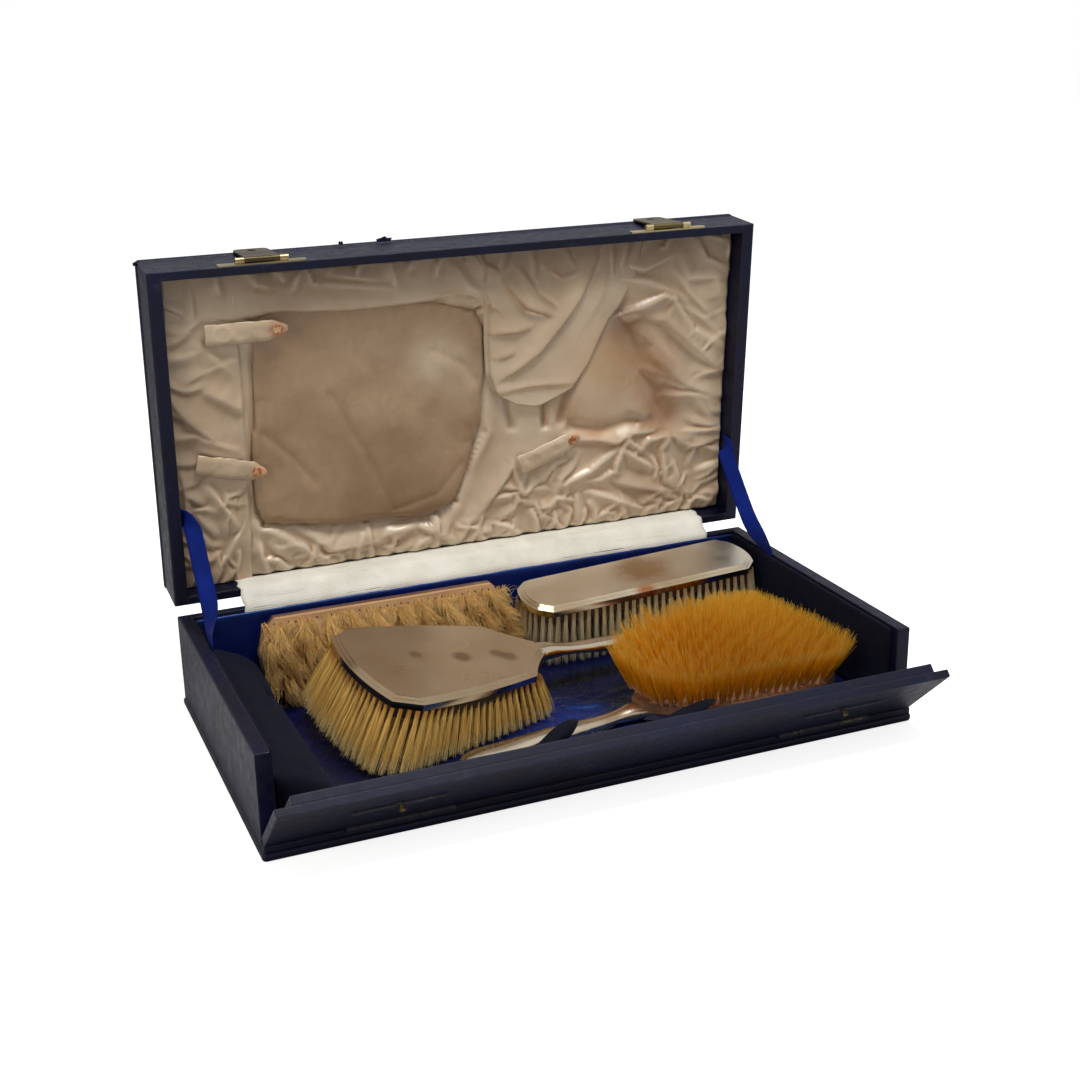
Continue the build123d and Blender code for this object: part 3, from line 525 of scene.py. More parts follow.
def wood_look(name, low, high, pore):
    """Dull wood with its grain along the brush and fine dark pores."""
    k = Look(name)
    grain = k.noise(90, 6, 0.62, source=k.scaled((0.25, 3.0, 3.0)), distort=0.5)
    base = k.mix(k.rise(grain, 0.34, 0.68), low, high)
    pores = k.rise(k.noise(800, 2, 0.5, source=k.scaled((0.12, 1.5, 1.5))), 0.62, 0.72)
    base = k.over(base, pores, 0.4, pore)
    k.set(Base_Color=base, Roughness=k.ramp(grain, [(0.3, 0.68), (0.7, 0.85)]))
    k.bump(grain, 0.0003, 0.4)
    return k.mat


def bristle_look(name, root, middle, tip, odd, rooted=0.2, rough=0.42, through=0.0):
    """Hair coloured along its length (V) and from hair to hair (U). Through is how far light goes through it."""
    k = Look(name, "UV")
    along = k.ramp(k.axis("Y"), [(0.04, root), (rooted, middle), (0.72, middle), (1.0, tip)])
    each = k.axis("X")
    base = k.mix(k.ramp(each, [(0.1, 0.0), (0.9, 0.75)]), along, k.mix(0.7, along, odd))
    streak = k.noise(160, 3, 0.5, source=k.scaled((6, 0.08, 1)))
    base = k.over(base, streak, 0.1 if through else 0.35, k.times(along, 0.62, 0.60, 0.58))
    k.set(Base_Color=base, Roughness=k.ramp(each, [(0.0, rough - 0.08), (1.0, rough + 0.12)]))
    k.bsdf.inputs["Specular IOR Level"].default_value = 0.18 if through else 0.4
    if through:
        k.bsdf.inputs["Subsurface Weight"].default_value = through
        k.bsdf.inputs["Subsurface Radius"].default_value = (0.004, 0.0018, 0.0006)
        k.bsdf.inputs["Subsurface Scale"].default_value = 1.0
    k.bump(k.noise(500, 2, 0.5), 0.00003, 0.3)
    return k.mat


def lid_stains_and_lit_patches(depth, *rows):
    """Stains, painted lit patches and darker patches on the lid's lining, each with x and y on the shut lid, a radius
    in metres, a colour and an amount.
    """
    return [
        (tuple(lid((x, y, depth)) * MM), radius, rgb(*colour), amount) for x, y, radius, colour, amount in rows
    ]


LOOKS = {
    "leatherette": leatherette("navy_leatherette", rgb(5, 6, 25), rgb(8, 12, 46), rgb(74, 75, 88)),
    "velvet": velvet("midnight_velvet", rgb(3, 4, 14), rgb(6, 9, 27), (0.10, 0.14, 0.42, 1)),
    "blue_satin": satin("royal_blue_satin", rgb(8, 15, 58), rgb(13, 25, 90), 0.05, tint=(0.2, 0.4, 1, 1)),
    # Painted shade: a darker copy of the blue satin for the cloth on the tray's floor.
    "floor_satin": satin(
        "shaded_blue_satin", rgb(5, 9, 38), rgb(8, 16, 66), 0.1, rough=(0.22, 0.34), tint=(0.16, 0.42, 1, 1),
        # A painted pool of light: a bright blue patch where a fold of the cloth catches the light.
        stains_and_lit_patches=(((0.004, -0.046, 0.008), 0.050, rgb(16, 46, 136), 0.7),),
    ),
    "ivory_satin": satin(
        "aged_ivory_satin", rgb(176, 151, 122), rgb(214, 195, 168), 0.1, rough=(0.30, 0.42),
        flecks=0.15, mottled=0.18, edges=True, folds=True,
        stains_and_lit_patches=lid_stains_and_lit_patches(
            15,
            (108, -140, 0.026, (104, 62, 30), 1.0), (118, -116, 0.042, (146, 94, 42), 1.0),
            (134, -84, 0.028, (138, 86, 38), 1.0), (92, -118, 0.048, (184, 146, 100), 0.7),
            (68, -92, 0.020, (156, 106, 60), 0.8), (90, -74, 0.022, (166, 118, 70), 0.7),
        ),
    ),
    "pad_satin": satin(
        "tan_pad_satin", rgb(148, 119, 87), rgb(178, 151, 120), 0.1, rough=(0.34, 0.5),
        flecks=0.4, mottled=0.6, edges=True,
        stains_and_lit_patches=lid_stains_and_lit_patches(
            14,
            # The first two patches make the pad darker towards its bottom; the last two are a painted highlight at its
            # upper right.
            (-60, -60, 0.06, (128, 98, 66), 0.6), (-40, -40, 0.05, (120, 90, 60), 0.6),
            (-20, -135, 0.030, (206, 188, 160), 0.9), (0, -118, 0.022, (196, 174, 144), 0.8),
        ),
    ),
    "tab_satin": satin(
        "tab_satin", rgb(176, 152, 123), rgb(206, 186, 158), 0.1, rough=(0.3, 0.42), mottled=0.3,
        stains_and_lit_patches=lid_stains_and_lit_patches(
            8,
            (-117, -164, 0.0085, (190, 98, 42), 0.85), (-131.5, -78.4, 0.0085, (196, 118, 48), 0.8),
            (73, -74, 0.0075, (196, 132, 66), 0.8),
        ),
    ),
    "ivory_ribbon": ribbed("ivory_ribbon", rgb(206, 202, 188), rgb(228, 225, 213), rgb(138, 130, 110), 260),
    "blue_ribbon": ribbed("blue_ribbon", rgb(8, 19, 78), rgb(13, 32, 110), rgb(5, 10, 44), 900, 0.0, (0.1, 0.2, 1, 1)),
    "brass": metal("aged_brass", rgb(186, 170, 128), rgb(104, 88, 58), rgb(226, 216, 184), 0.8, (0.3, 0.5)),
    "dark_brass": metal("dark_brass", rgb(92, 80, 54), rgb(44, 38, 30), rgb(176, 160, 116), 0.8, (0.35, 0.55)),
    "dull_brass": flecked("dull_brass", rgb(16, 17, 32), rgb(84, 72, 44), 130, 0.34, 0.7),
    "steel_stud": flecked("rusted_stud", rgb(150, 78, 34), rgb(196, 160, 120), 420, 0.45, 0.8),
    "wood": wood_look("rosy_wood", rgb(172, 132, 92), rgb(200, 162, 118), rgb(116, 82, 56)),
    # Painted shade: a darker copy of the rosy wood for the upturned brush's wood among its tufts.
    "pad_wood": wood_look("shaded_rosy_wood", rgb(118, 80, 54), rgb(148, 106, 74), rgb(82, 52, 34)),
    # Painted shade: wood darkened to read as the shadow under the silver rims, also used inside the tuft holes.
    "dark_wood": wood_look("shaded_wood", rgb(52, 38, 28), rgb(78, 58, 42), rgb(30, 22, 16)),
    "gold_bristle": bristle_look(
        "gold_bristle", rgb(204, 142, 60), rgb(255, 214, 122), rgb(255, 236, 172), rgb(238, 184, 94),
    ),
    "amber_bristle": bristle_look(
        "amber_bristle", rgb(240, 190, 140), rgb(255, 168, 8), rgb(255, 214, 70), rgb(255, 150, 4), 0.25, through=0.3,
    ),
    "pale_bristle": bristle_look(
        "pale_bristle", rgb(190, 164, 118), rgb(234, 218, 178), rgb(246, 236, 206), rgb(208, 182, 132),
    ),
    "matted_bristle": bristle_look(
        "matted_bristle", rgb(214, 166, 96), rgb(238, 198, 124), rgb(248, 220, 162), rgb(206, 154, 86),
    ),
}


# Brushes, in mm. Down from a brush's back come its shell, its wood and its tufts.
FLOOR_Z = 7.0
SHELL, WOOD, CLOTHES_WOOD = 6.0, 6.0, 5.4
HEAD_LENGTH, HEAD_CANT, SHOULDER = 119.0, 15.0, 97.0
TUFT_PITCH = 8.3
HAIR_LOW = FLOOR_Z + 0.4
HAIR_RINGS = 6
PLACES = {
    "hairbrush_left": brush_place(-110, -12, 55.5, 10, 8, 8),
    "hairbrush_right": brush_place(158.2, -26.3, FLOOR_Z + 0.1, 190, 0, 180),
    "clothes_brush_left": brush_place(-67.5, 84.6, 30.0, 0, 0, -100),
    "clothes_brush_right": brush_place(95.5, 63.2, 51.5, 1.0, -2.5, 6),
}


def head_half_at(u):
    """Half the width of a hairbrush's head at a distance from its end."""
    if u < HEAD_CANT:
        return 38 + 8 * max(u, 0) / HEAD_CANT
    if u < SHOULDER:
        return 46 - 15 * (u - HEAD_CANT) / (SHOULDER - HEAD_CANT)
    return 31 - (u - SHOULDER) * 0.9


def reach(place, root, spread, length):
    """How long a tuft may be before its tip meets the tray's floor."""
    start = put(place, root)
    (_, _, x_rise), (_, _, y_rise), (_, _, drop) = place[1]
    if drop <= 0:
        return length
    return min(length, (start[2] + x_rise * spread[0] + y_rise * spread[1] - FLOOR_Z - 0.9) / drop)


def tuft(place, u, v, under, spread, length):
    """Where a tuft leaves the wood and where its tip ends, on the brush's own axes."""
    free = reach(place, (u, v, under - 0.3), spread, length)
    return u, v, under, u + spread[0], v + spread[1], under - 0.3 - free


def hair_tufts(place, length, front, rear, end, last=SHOULDER + 6):
    """The tufts of a hairbrush's head, in rows that alternate."""
    under = -(SHELL + WOOD)
    out = []
    for row in range(int(last / TUFT_PITCH) + 1):
        odd = row % 2
        u = 3.0 + row * TUFT_PITCH
        half = head_half_at(u) - 5.0
        across = int(half / TUFT_PITCH + (0.5 if odd else 0.0))
        for k in range(-across + odd, across + 1):
            v = k * TUFT_PITCH - (4.15 if odd else 0.0)
            if abs(v) <= half:
                spread = (end * (u - HEAD_LENGTH * 0.46), (rear if v > 0 else front) * v)
                out.append(tuft(place, u, v, under, spread, length))
    return np.array(out)


def clothes_tufts(place, length, droop):
    """The tufts of a clothes brush, without those at its four corners."""
    under = -(SHELL + CLOTHES_WOOD)
    out = []
    for column in range(21):
        u = (column - 10) * 7.4
        for row in range(-2, 3):
            if column not in (0, 20) or abs(row) < 2:
                v = row * 8.2
                out.append(tuft(place, u, v, under, (u * 0.015, v * 0.1 + droop), length))
    return np.array(out)


def hairs(
    name, place, tufts, count, seed, look, root, tip, uneven, bend, thick, curl=(0, 0, 0), clump=0.0, loose=0.0
):
    """Every hair of a brush as a thin three-sided tapered blade, tuft by tuft.
    Root and tip are a tuft's radii, thick a hair's, and clump how far whole tufts lean."""
    rng = np.random.default_rng(seed)
    n = len(tufts) * count
    t = np.repeat(tufts, count, axis=0)
    angle, radius = rng.uniform(0, 2 * np.pi, n), np.sqrt(rng.uniform(0, 1, n))
    disc = np.stack((np.cos(angle) * radius, np.sin(angle) * radius, np.zeros(n)), 1)
    lean = np.repeat(rng.normal(0, clump, (len(tufts), 3)), count, axis=0) if clump else 0
    a = t[:, :3] + disc * root
    b = t[:, 3:] + disc * (tip * rng.uniform(0.55, 1.1, (n, 1))) + rng.normal(0, 0.35 + loose, (n, 3)) + lean
    length = 1 - np.abs(rng.normal(0, uneven, n))
    b = a + (b - a) * length[:, None]
    bow = rng.normal(0, bend, (n, 3)) + np.asarray(curl, float)
    bow[:, 2] *= 0.3
    s = np.linspace(0, 1, HAIR_RINGS)
    arc = s * s * (1 - s) * 3 + 0.5 * s * s
    line = a[:, None] + (b - a)[:, None] * s[None, :, None] + bow[:, None] * arc[None, :, None]
    world = put(place, line)
    world[..., 2] = np.maximum(world[..., 2], HAIR_LOW + 0.15 * rng.uniform(0, 1, (n, 1)))
    direction = world[:, -1] - world[:, 0]
    direction /= np.linalg.norm(direction, axis=1)[:, None]
    side = np.cross(direction, rng.normal(0, 1, (n, 3)))
    side /= np.linalg.norm(side, axis=1)[:, None]
    other = np.cross(direction, side)
    taper = (thick * (1 - 0.62 * s ** 1.5))[None, :, None, None]
    turn = (np.arange(3) * 2 * np.pi / 3)[None, None, :, None]
    ring = side[:, None, None] * np.cos(turn) + other[:, None, None] * np.sin(turn)
    points = world[:, :, None] + ring * taper
    base = (np.arange(n) * HAIR_RINGS * 3)[:, None, None] + (np.arange(HAIR_RINGS - 1) * 3)[None, :, None]
    k = np.arange(3)[None, None]
    after = (k + 1) % 3
    faces = np.stack((base + k, base + after, base + 3 + after, base + 3 + k), -1)
    shade = rng.uniform(0, 1, n) * 0.6 + np.repeat(rng.uniform(0, 0.4, len(tufts)), count)
    uv = np.stack(np.broadcast_arrays(shade[:, None, None], s[None, :, None] + np.zeros((1, 1, 3))), -1)
    return piece(name, points, faces.reshape(-1, 4), look, uv.reshape(-1, 2))


def tuft_sockets(name, place, tufts, radius, look):
    """Small dimples where the tufts enter the wood, as thin rings on its face."""
    points, faces = [], []
    for u, v, w in tufts:
        start = len(points)
        for r, lift in ((radius, 0.02), (radius * 0.72, 0.16), (radius * 0.1, 0.05)):
            for i in range(10):
                turn = i * math.tau / 10
                points.append((u + r * math.cos(turn), v + r * math.sin(turn), w - lift))
        for j in (start, start + 10):
            faces += [(j + i, j + (i + 1) % 10, j + 10 + (i + 1) % 10, j + 10 + i) for i in range(10)]
    return piece(name, put(place, points), faces, look)


left_head, right_head, left_clothes, right_clothes = PLACES.values()
left_hair = hair_tufts(left_head, 30.0, 0.18, 0.10, 0.22)
right_hair = hair_tufts(right_head, 30.0, 0.22, 0.16, 0.20, 112)
left_rows = clothes_tufts(left_clothes, 22.0, 6.0)
right_rows = clothes_tufts(right_clothes, 28.0, 0.0)


def skirt(place, outline, top, length, lean, gap):
    """A row of tufts round the rim's underside, which hides the wood."""
    line = np.array(outline + outline[:1], float)
    out = []
    for u, v in spaced(line, np.arange(0, run_along(line)[-1], gap)):
        spread = lean(u, v)
        free = reach(place, (u, v, top), spread, length)
        out.append((u, v, top, u + spread[0], v + spread[1], top - free))
    return np.array(out)


def rim_of_head(inset, end=104):
    """The head's outline, inset, from its end to its shoulders and back."""
    line = [(u + 0.3, head_half_at(u) - inset) for u in (1, 6, 15, 40, 70, 97, end)]
    return line + [(u, -v) for u, v in reversed(line)] + [(inset - 3.4, -22), (inset - 4.6, 0), (inset - 3.4, 22)]


left_skirt = skirt(
    left_head, rim_of_head(0.2), -SHELL - 0.4, 36.0, lambda u, v: (0.2 * (u - 55), (0.16 if v < 0 else 0.1) * v), 4.6
)
BAR_RIM = [
    (-77, 14), (-70, 22.8), (70, 22.8), (77, 14), (79.6, 0),
    (77, -14), (70, -22.8), (-70, -22.8), (-77, -14), (-79.6, 0),
]
right_skirt = skirt(right_clothes, BAR_RIM, -SHELL - 0.4, 33.5, lambda u, v: (0.03 * u, 0.1 * v), 5.2)

# The upturned brush is longest in the middle and opens wide towards its handle
u, v = right_hair[:, 0], right_hair[:, 1]
right_hair[:, 3] += (
    0.12 * np.maximum(u - 50, 0) * step(-24, 10, v) + 0.09 * np.maximum(50 - u, 0) - 0.5 * np.maximum(u - 100, 0)
)
right_hair[:, 4] += 0.2 * np.maximum(v, 0) * step(40, 100, u)
crown = 5.5 * np.exp(-((u - 72) / 32) ** 2) * step(-34, 16, v)
right_hair[:, 5] -= crown - 2.0 + 5.0 * step(-12, 26, v) * step(0, 50, u)
front_rim = skirt(
    right_head, rim_of_head(2.7, 112), -(SHELL + WOOD), 26.0, lambda u, v: (0.12 * (u - 46), 0.24 * v), 5.0
)

worn = left_rows[:, 1] < -12
gold = hairs(
    "gold_hair", left_head, np.concatenate((left_hair, left_skirt)),
    46, 11, LOOKS["gold_bristle"], 1.15, 2.3, 0.05, 0.8, 0.17,
)
amber = hairs(
    "amber_hair", right_head, np.concatenate((right_hair, front_rim)),
    60, 12, LOOKS["amber_bristle"], 0.8, 5.4, 0.07, 1.0, 0.16, loose=0.5,
)
matted = hairs(
    "matted_hair", left_clothes, np.concatenate((left_rows[~worn], left_rows[worn][::2])),
    78, 13, LOOKS["matted_bristle"], 1.3, 5.2, 0.14, 3.6, 0.15, (0, 5, 0), 2.6,
)
pale = hairs(
    "pale_hair", right_clothes, np.concatenate((right_rows, right_skirt)),
    36, 14, LOOKS["pale_bristle"], 1.1, 1.9, 0.05, 0.9, 0.16,
)

# The worn face of the leaning brush: short felted hair that lies down over the wood
rng = np.random.default_rng(8)
felt = []
for i in range(760):
    u, v = rng.uniform(-77, 77), rng.uniform(-20.5, 12)
    felt.append((u, v, -11.3, u + rng.uniform(-5, 5), v + rng.uniform(4, 10), -11.4 - rng.uniform(0.8, 4.2)))
nap = hairs(
    "felted_hair", left_clothes, np.array(felt), 15, 16, LOOKS["matted_bristle"], 1.6, 2.8, 0.2, 1.6, 0.15
)
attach(nap, "clothes_brush_left")
holes = [(u, -19.4 + 0.5 * (i % 2), -(SHELL + CLOTHES_WOOD)) for i, u in enumerate(np.arange(-70, 74, 4.4))]
sockets = tuft_sockets("tuft_holes", left_clothes, holes, 0.6, LOOKS["dark_wood"])
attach(sockets, "clothes_brush_left")
for obj, body, slot in (
    (gold, "hairbrush_left", "gold_bristle"),
    (amber, "hairbrush_right", "amber_bristle"),
    (matted, "clothes_brush_left", "gold_bristle"),
    (pale, "clothes_brush_right", "pale_bristle"),
):
    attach(obj, body)
    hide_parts(body + "_bristles")

# Stray hairs at the end of the matted brush
rng = np.random.default_rng(5)
strays = []
for i in range(26):
    u, v = rng.uniform(60, 79), rng.uniform(-19, -6)
    strays.append((u, v, -11.4, u + rng.uniform(-2, 9), v - rng.uniform(1, 9), -11.7 - rng.uniform(9, 19)))
stray = hairs(
    "stray_hair", left_clothes, np.array(strays), 1, 15, LOOKS["pale_bristle"], 0.5, 0.5, 0.2, 2.6, 0.13
)
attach(stray, "clothes_brush_left")


# Velvet and satin of the tray
def padded_copy(name, node, voxel, look):
    """A soft piece that starts from a CAD solid's own form."""
    obj = bpy.data.objects.new(name, nodes[node].data.copy())
    scene.collection.objects.link(obj)
    remesh(obj, voxel)
    obj.data.materials.clear()
    obj.data.materials.append(look)
    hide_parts(node)
    return obj


SWELL_FRAMES = 20


def swell(pads):
    """Cloth pressure on several pads at once, with a cap on how far a point moves."""
    rests = [coords(obj) for obj, _, _ in pads]
    for obj, _, pressure in pads:
        cloth = obj.modifiers.new("Cloth", "CLOTH").settings
        cloth.use_pressure = True
        cloth.uniform_pressure_force = pressure
        cloth.effector_weights.gravity = 0
        cloth.quality = 5
    for at in range(1, SWELL_FRAMES + 1):
        scene.frame_set(at)
    graph = bpy.context.evaluated_depsgraph_get()
    for (obj, cap, _), rest in zip(pads, rests):
        after = np.zeros(len(rest) * 3)
        obj.evaluated_get(graph).data.vertices.foreach_get("co", after)
        move = after.reshape(-1, 3) - rest
        far = np.linalg.norm(move, axis=1, keepdims=True)
        move *= np.minimum(1, cap * MM / np.maximum(far, 1e-9))
        obj.modifiers.clear()
        set_coords(obj, rest + move)
    scene.frame_set(1)


PANEL_GRAIN, PANEL_ROUGH, PANEL_CUTS = 2.6, 0.35, 150


def panel(name, node, look, seed):
    """A covered card panel: rounded edges and a slightly uneven face."""
    low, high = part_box(node)
    size = (high - low) / MM
    bm = bmesh.new()
    bmesh.ops.create_cube(bm, size=1.0)
    for v in bm.verts:
        v.co = Vector((low[i] / MM + (v.co[i] + 0.5) * size[i] for i in range(3)))
    bmesh.ops.bevel(bm, geom=list(bm.edges), offset=min(size) * 0.42, segments=2, affect="EDGES", profile=0.6)
    for axis in range(3):
        normal = Vector([1.0 if i == axis else 0.0 for i in range(3)])
        count = min(int(size[axis] / PANEL_GRAIN), PANEL_CUTS)
        for i in range(1, count):
            at = Vector([low[j] / MM for j in range(3)]) + normal * (size[axis] * i / count)
            whole = bm.verts[:] + bm.edges[:] + bm.faces[:]
            bmesh.ops.bisect_plane(bm, geom=whole, plane_co=at, plane_no=normal)
    mesh = bpy.data.meshes.new(name)
    bm.to_mesh(mesh)
    bm.free()
    obj = bpy.data.objects.new(name, mesh)
    scene.collection.objects.link(obj)
    p = coords(obj)
    normals = np.zeros(len(p) * 3)
    obj.data.vertices.foreach_get("normal", normals)
    x, y, z = p.T
    wave = lattice_noise(x + y, z + y * 0.7, 9, seed) + 0.5 * lattice_noise(x - y, z, 4, seed + 1)
    set_coords(obj, (p + normals.reshape(-1, 3) * (wave * PANEL_ROUGH * 0.5)[:, None]) * MM)
    obj.data.shade_smooth()
    obj.data.materials.append(look)
    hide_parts(node)
    return obj


roll_pad = padded_copy("velvet_roll", "left_bolster", 4.0, LOOKS["velvet"])
rest_left = padded_copy("velvet_rest_left", "handle_rest_left", 2.0, LOOKS["velvet"])
rest_right = padded_copy("velvet_rest_right", "handle_rest_right", 2.0, LOOKS["velvet"])

# The mirror's pad in the lid: a thin stuffed card with the outline seen in the lid
PAD_LINE = (
    (-132, -170), (-133, -122), (-138, -76), (-135, -50), (-131, -42), (-109, -38), (-84, -34),
    (-55, -33), (-25, -31), (-8, -40), (1, -58), (10, -84), (14, -118), (15, -150), (9, -163),
    (-16, -170), (-41, -176), (-63, -181), (-84, -183), (-106, -180), (-124, -175),
)
front, rear = (lid([(x, y, depth) for x, y in PAD_LINE]) for depth in (14.6, 18.8))
pad = prism("mirror_cushion", front, rear, LOOKS["pad_satin"])
remesh(pad, 2.6)
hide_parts("mirror_pad")
swell([(roll_pad, 2.0, 4.0), (rest_left, 1.0, 3.0), (rest_right, 1.0, 3.0), (pad, 1.3, 4.0)])
for obj in (roll_pad, rest_left, rest_right, pad):
    finer(obj)

# The two rests lean over to the right, the front one nearly flat
for obj, middle, foot_x, slope, thin in (
    (rest_left, -13.7, -24.0, 1.2, 0.62),
    (rest_right, 47.2, 44.0, 2.9, 0.75),
):
    p = coords(obj) / MM
    lift = FLOOR_Z + (p[:, 2] - FLOOR_Z) * 1.08
    p[:, 0] = foot_x + (p[:, 0] - middle) * thin + slope * np.maximum(lift - 20, -6)
    p[:, 2] = lift
    set_coords(obj, p * MM)

# Long soft creases over the pad
PAD_CREASES = (
    ((-86, -120), (-72, -92), (-58, -62), (-50, -42)),
    ((-128, -100), (-112, -84), (-98, -66)),
    ((-20, -140), (0, -128), (10, -112)),
    ((-52, -40), (-20, -48), (-4, -66)),
)
p = coords(pad) / MM
x, y, z = ((p - LID_AT) @ np.stack((np.array((1.0, 0, 0)), LID_Y, LID_Z), 1)).T
dent = np.zeros(len(p))
for crease in PAD_CREASES:
    d = line_distance(x, y, crease)
    dent += 0.35 * np.exp(-(d / 1.8) ** 2) - 0.25 * np.exp(-((d - 5.5) / 4.0) ** 2)
dent += 0.6 * lattice_noise(x, y, 34, 3) + 0.14 * lattice_noise(x, y, 9, 4)
dent += 1.8 * step(-90, -176, y) - 2.6 * step(-90, -40, y)
dent -= 1.6 * np.exp(-((x + 14) ** 2 + (y + 128) ** 2) / 14 ** 2)
set_coords(pad, (p + LID_Z * (dent * step(17.0, 15.0, z))[:, None]) * MM)
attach(pad, "lid")
for obj in (roll_pad, rest_left, rest_right):
    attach(obj, "base")

for name, node, slot in (
    ("velvet_left", "left_liner", "velvet"),
    ("velvet_right", "right_liner", "velvet"),
    ("satin_back", "back_liner", "blue_satin"),
):
    obj = panel(name, node, LOOKS[slot], len(name))
    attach(obj, "base")


def mean_of_four(p):
    """The mean of each inner point's four neighbours."""
    return (p[:-2, 1:-1] + p[2:, 1:-1] + p[1:-1, :-2] + p[1:-1, 2:]) / 4


SMOOTH, ROUNDS, KEPT_SPEED = 0.06, 2, 0.86
BOARD_CLEAR, BOARD_CORNER = 8.2, 0.9


def settle(p, wide, tall, pinned, near, far, steps):
    """Lets a sheet with more cloth than room buckle: springs pull towards their rest lengths, between two limits.
    p is rows x columns x 3 in mm, and wide and tall are how much longer the cloth is than its place.
    Gives the points, and the width and length that the cloth has when flat."""
    p = p.copy()
    rest_x = np.linalg.norm(p[:, 1:] - p[:, :-1], axis=2) * (wide[:, 1:] + wide[:, :-1]) / 2
    rest_y = np.linalg.norm(p[1:] - p[:-1], axis=2) * (tall[1:] + tall[:-1]) / 2
    cross = np.hypot((rest_x[1:] + rest_x[:-1]) / 2, (rest_y[:, 1:] + rest_y[:, :-1]) / 2)
    every, most, rest_of = slice(None), slice(0, -1), slice(1, None)
    links = (
        ((every, most), (every, rest_of), rest_x, 0.46),
        ((most, every), (rest_of, every), rest_y, 0.46),
        ((most, most), (rest_of, rest_of), cross, 0.3),
        ((most, rest_of), (rest_of, most), cross, 0.3),
    )
    fixed = p[pinned]
    last = p.copy()
    for _ in range(steps):
        p, last = p + (p - last) * KEPT_SPEED, p
        for _ in range(ROUNDS):
            for a, b, rest, share in links:
                d = p[b] - p[a]
                size = np.linalg.norm(d, axis=2)
                d *= (share * 0.5 * (size - rest) / np.maximum(size, 1e-6))[..., None]
                p[a] += d
                p[b] -= d
            p[pinned] = fixed
        inner = p[1:-1, 1:-1]
        inner += SMOOTH * (mean_of_four(p) - inner)
        p[..., 2] = np.clip(p[..., 2], near, far)
        p[pinned] = fixed
    area = (rest_x[:-1] * rest_y[:, :-1]).sum()
    width = rest_x.sum(1).mean()
    return p, (width * MM, area / width * MM)


def above_board(z):
    """Keeps cloth clear of the lid's board, with a soft corner."""
    return BOARD_CLEAR + np.logaddexp(0, (z - BOARD_CLEAR) / BOARD_CORNER) * BOARD_CORNER


def lines(*rows):
    """Folds or hollows from rows of a rise, a width, and x and y of each point."""
    return tuple((tuple(zip(row[2::2], row[3::2])), row[0], row[1]) for row in rows)


# Gathered satin in the lid
FOLDS = lines(
    # lower edge, left of centre
    (4.5, 3.0, -132, -42, -96, -15), (4.5, 3.2, -111, -40, -90, -21, -55, -21),
    (3.5, 2.6, -129, -32, -115, -18), (3.5, 3.0, -58, -24, -34, -29),
    (4.0, 2.8, -32, -27, -7, -13), (4.0, 2.6, -7, -13, 2, -25),
    (2.5, 2.4, -81, -17, -64, -19), (2.5, 2.6, -46, -14, -19, -16),
    # lower right
    (4.6, 3.0, -7, -17, 11, -35, 31, -59), (4.0, 3.4, 15, -84, -1, -55, -10, -29),
    (3.4, 2.4, 3, -11, 12, -35), (4.0, 2.6, 31, -59, 38, -39, 50, -47),
    (4.6, 3.0, 62, -40, 85, -48, 104, -60), (4.0, 2.6, 51, -46, 60, -58, 68, -59),
    (3.4, 2.2, 31, -40, 43, -42), (4.4, 2.8, 86, -33, 125, -16),
    (4.6, 3.0, 105, -38, 149, -26), (5.0, 3.0, 138, -55, 140, -36, 162, -20),
    (4.0, 2.6, 162, -20, 178, -15), (3.4, 2.4, 76, -33, 77, -15),
    (4.4, 2.6, 108, -60, 103, -46, 91, -40), (4.2, 2.6, 108, -60, 122, -50, 133, -42),
    (4.2, 2.8, 144, -66, 158, -57, 175, -58), (3.8, 2.4, 144, -66, 136, -55),
    (4.2, 2.6, 116, -55, 128, -64, 144, -66),
    (4.0, 2.6, 69, -72, 91, -70, 104, -66, 115, -71, 133, -70),
    (3.8, 2.4, 22, -23, 36, -35, 47, -30), (3.8, 2.4, 50, -20, 61, -33, 75, -29),
    (3.2, 2.2, 93, -16, 108, -25), (3.8, 2.4, 123, -19, 137, -28, 153, -18),
    (3.6, 2.4, 163, -38, 178, -42), (3.4, 2.4, 36, -56, 53, -66),
    # right of the handle's hollow
    (3.8, 3.2, 87, -189, 120, -179, 141, -186),
    (5.2, 3.2, 77, -153, 105, -149, 134, -160, 141, -157, 156, -136, 177, -124),
    (4.8, 3.2, 126, -146, 137, -145, 152, -130, 178, -107),
    (4.0, 3.6, 129, -121, 153, -100, 179, -88), (3.4, 3.0, 139, -93, 161, -92, 178, -84),
    (3.6, 3.0, 145, -184, 152, -171, 177, -169), (3.6, 2.8, 150, -163, 171, -144),
    (3.6, 3.4, 89, -177, 124, -169, 153, -156), (3.0, 2.6, 158, -74, 177, -68),
    # along the top
    (2.4, 2.2, -101, -196, -107, -184), (2.8, 2.6, -101, -189, -66, -184, -41, -180),
    (2.6, 2.2, -47, -193, -44, -180), (2.4, 2.2, -83, -192, -53, -186),
    (4.0, 3.0, -8, -191, 2, -176, 14, -165),
)


def inside(x, y, outline):
    """Which points lie in a closed outline."""
    hit = np.zeros(np.shape(x), bool)
    for (ax, ay), (bx, by) in zip(outline, outline[1:] + outline[:1]):
        crosses = (ay > y) != (by > y)
        hit ^= crosses & (x < (bx - ax) * (y - ay) / ((by - ay) or 1e-9) + ax)
    return hit


